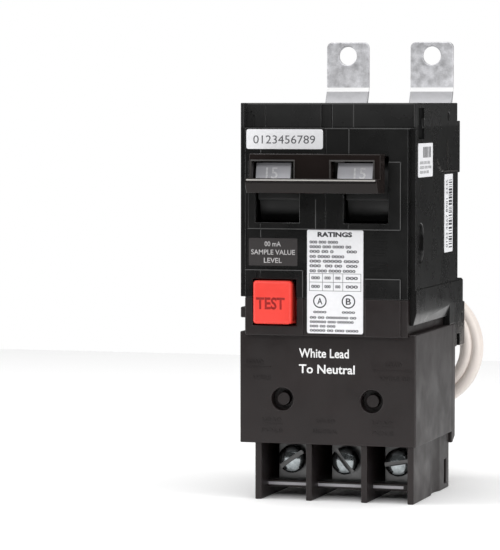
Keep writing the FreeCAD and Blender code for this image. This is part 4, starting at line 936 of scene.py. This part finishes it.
def turned_mesh(name, centre, profile, steps=48):
    """A profile of depths and radii turned round an axis that runs from front to back."""
    points, faces = [], []
    for depth, radius in profile:
        for k in range(steps):
            turn = 2 * math.pi * k / steps
            points.append((
                centre.x + radius * MM * math.cos(turn), FRONT + depth * MM,
                centre.z + radius * MM * math.sin(turn),
            ))
    for start in range(0, (len(profile) - 1) * steps, steps):
        for k in range(steps):
            following = (k + 1) % steps
            faces.append((start + k, start + following, start + steps + following, start + steps + k))
    mesh = bpy.data.meshes.new(name)
    mesh.from_pydata(points, [], faces)
    shape = bmesh.new()
    shape.from_mesh(mesh)
    bmesh.ops.remove_doubles(shape, verts=shape.verts, dist=0.001 * MM)
    bmesh.ops.recalc_face_normals(shape, faces=shape.faces)
    shape.to_mesh(mesh)
    shape.free()
    return mesh


def block_mesh(name, sides, placed, material):
    """A block with its three sides in millimetres, placed by a matrix, as a cutter."""
    shape = bmesh.new()
    bmesh.ops.create_cube(shape, size=1.0)
    size = Matrix.Diagonal((sides[0] * MM, sides[1] * MM, sides[2] * MM, 1))
    bmesh.ops.transform(shape, matrix=placed @ size, verts=shape.verts)
    mesh = bpy.data.meshes.new(name)
    shape.to_mesh(mesh)
    shape.free()
    mesh.materials.append(material)
    return mesh


def terminal_screw(side, angle):
    """A slotted machine screw: a domed head, a threaded shank and a driver slot."""
    low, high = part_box(side + "_terminal_screw")
    centre = (low + high) / 2
    radius = (high.x - low.x) / 2 / MM
    profile = screw_profile((low.y - FRONT) / MM, radius, (high.y - FRONT) / MM)
    piece = finish_piece(
        turned_mesh(side + "_screw_skin", centre, profile), side + "_screw_skin", side + "_screw",
        [MATERIALS["screw_zinc"]], [side + "_terminal_screw"],
    )
    slot_wide, slot_deep, slot_long = 1.25, 1.4, 12.0
    turned = Matrix.Rotation(math.radians(angle), 4, "Y")
    placed = Matrix.Translation((centre.x, low.y, centre.z)) @ turned
    sides = (slot_wide, 2 * slot_deep, slot_long)
    boolean_less(piece, block_mesh("screw_slot", sides, placed, MATERIALS["lug_metal"]))
    for polygon in piece.data.polygons:
        polygon.use_smooth = True
    edges = piece.modifiers.new("split", "EDGE_SPLIT")
    edges.split_angle = math.radians(38)
    return piece


# The pigtail ---------------------------------------------------------------------------------------


def pigtail():
    """The white neutral lead: out of its bushing, along the back, and wound into a ring."""
    middle_x, middle_z = 10.2, 38.5
    wide, narrow = 17.1, 13.5
    back, fore = 71.0, 67.5
    route = [
        (-17.0, 51.5, 21.4), (-17.0, 59.0, 21.4), (-13.25, 65.5, 21.4), (-6.75, 69.25, 21.4),
        (2.3, 69.6, 21.4),
    ]
    turns = (  # radius at the start and the end, depth at the start and the end
        (wide, wide, back, back), (wide, narrow, back, back), (narrow, narrow, back, fore),
        (narrow, wide, fore, fore), (wide, wide, fore, 69.25),
    )
    steps = 16
    for index, (first, last, start_depth, end_depth) in enumerate(turns):
        count = steps if index < len(turns) - 1 else steps // 2
        for k in range(count):
            share = k / count
            turn = math.radians(-90) + 2 * math.pi * k / steps
            radius = first + (last - first) * share
            depth = start_depth + (end_depth - start_depth) * share
            route.append((middle_x + radius * math.cos(turn), depth, middle_z + radius * math.sin(turn)))
    route += [(middle_x, 69.25, 55.65), (5.0, 69.25, 55.7), (1.6, 69.25, 55.7)]
    data = bpy.data.curves.new("pigtail", "CURVE")
    data.dimensions = "3D"
    data.bevel_depth = 1.7 * MM
    data.bevel_resolution = 6
    data.use_fill_caps = True
    data.resolution_u = 6
    spline = data.splines.new("NURBS")
    spline.points.add(len(route) - 1)
    for point, place in zip(spline.points, route):
        point.co = (*at(*place), 1.0)
    spline.order_u = 3
    spline.use_endpoint_u = True
    cord = bpy.data.objects.new("pigtail", data)
    bpy.context.scene.collection.objects.link(cord)
    data.materials.append(MATERIALS["wire_white"])
    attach(cord, BODY_OF["pigtail_lead"])
    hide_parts("pigtail_lead", "pigtail_coil")
    return cord


make_camera()
pigtail()
make_light()
make_floor()
dress_nodes()
round_shells()
test_button()
terminal_screw("left", 55)
terminal_screw("neutral", -38)
terminal_screw("right", 80)
rating_label()
serial_label()
level_label()
code_label()
strip_label()
housing_print()
housing_legends()
face_relief()
edge_lines()
shoulder_relief()
side_relief()
window_frames()
ledge_sheen()
sill_sheen()
rating_digits()

view_settings = bpy.context.scene.view_settings
view_settings.view_transform = "Standard"
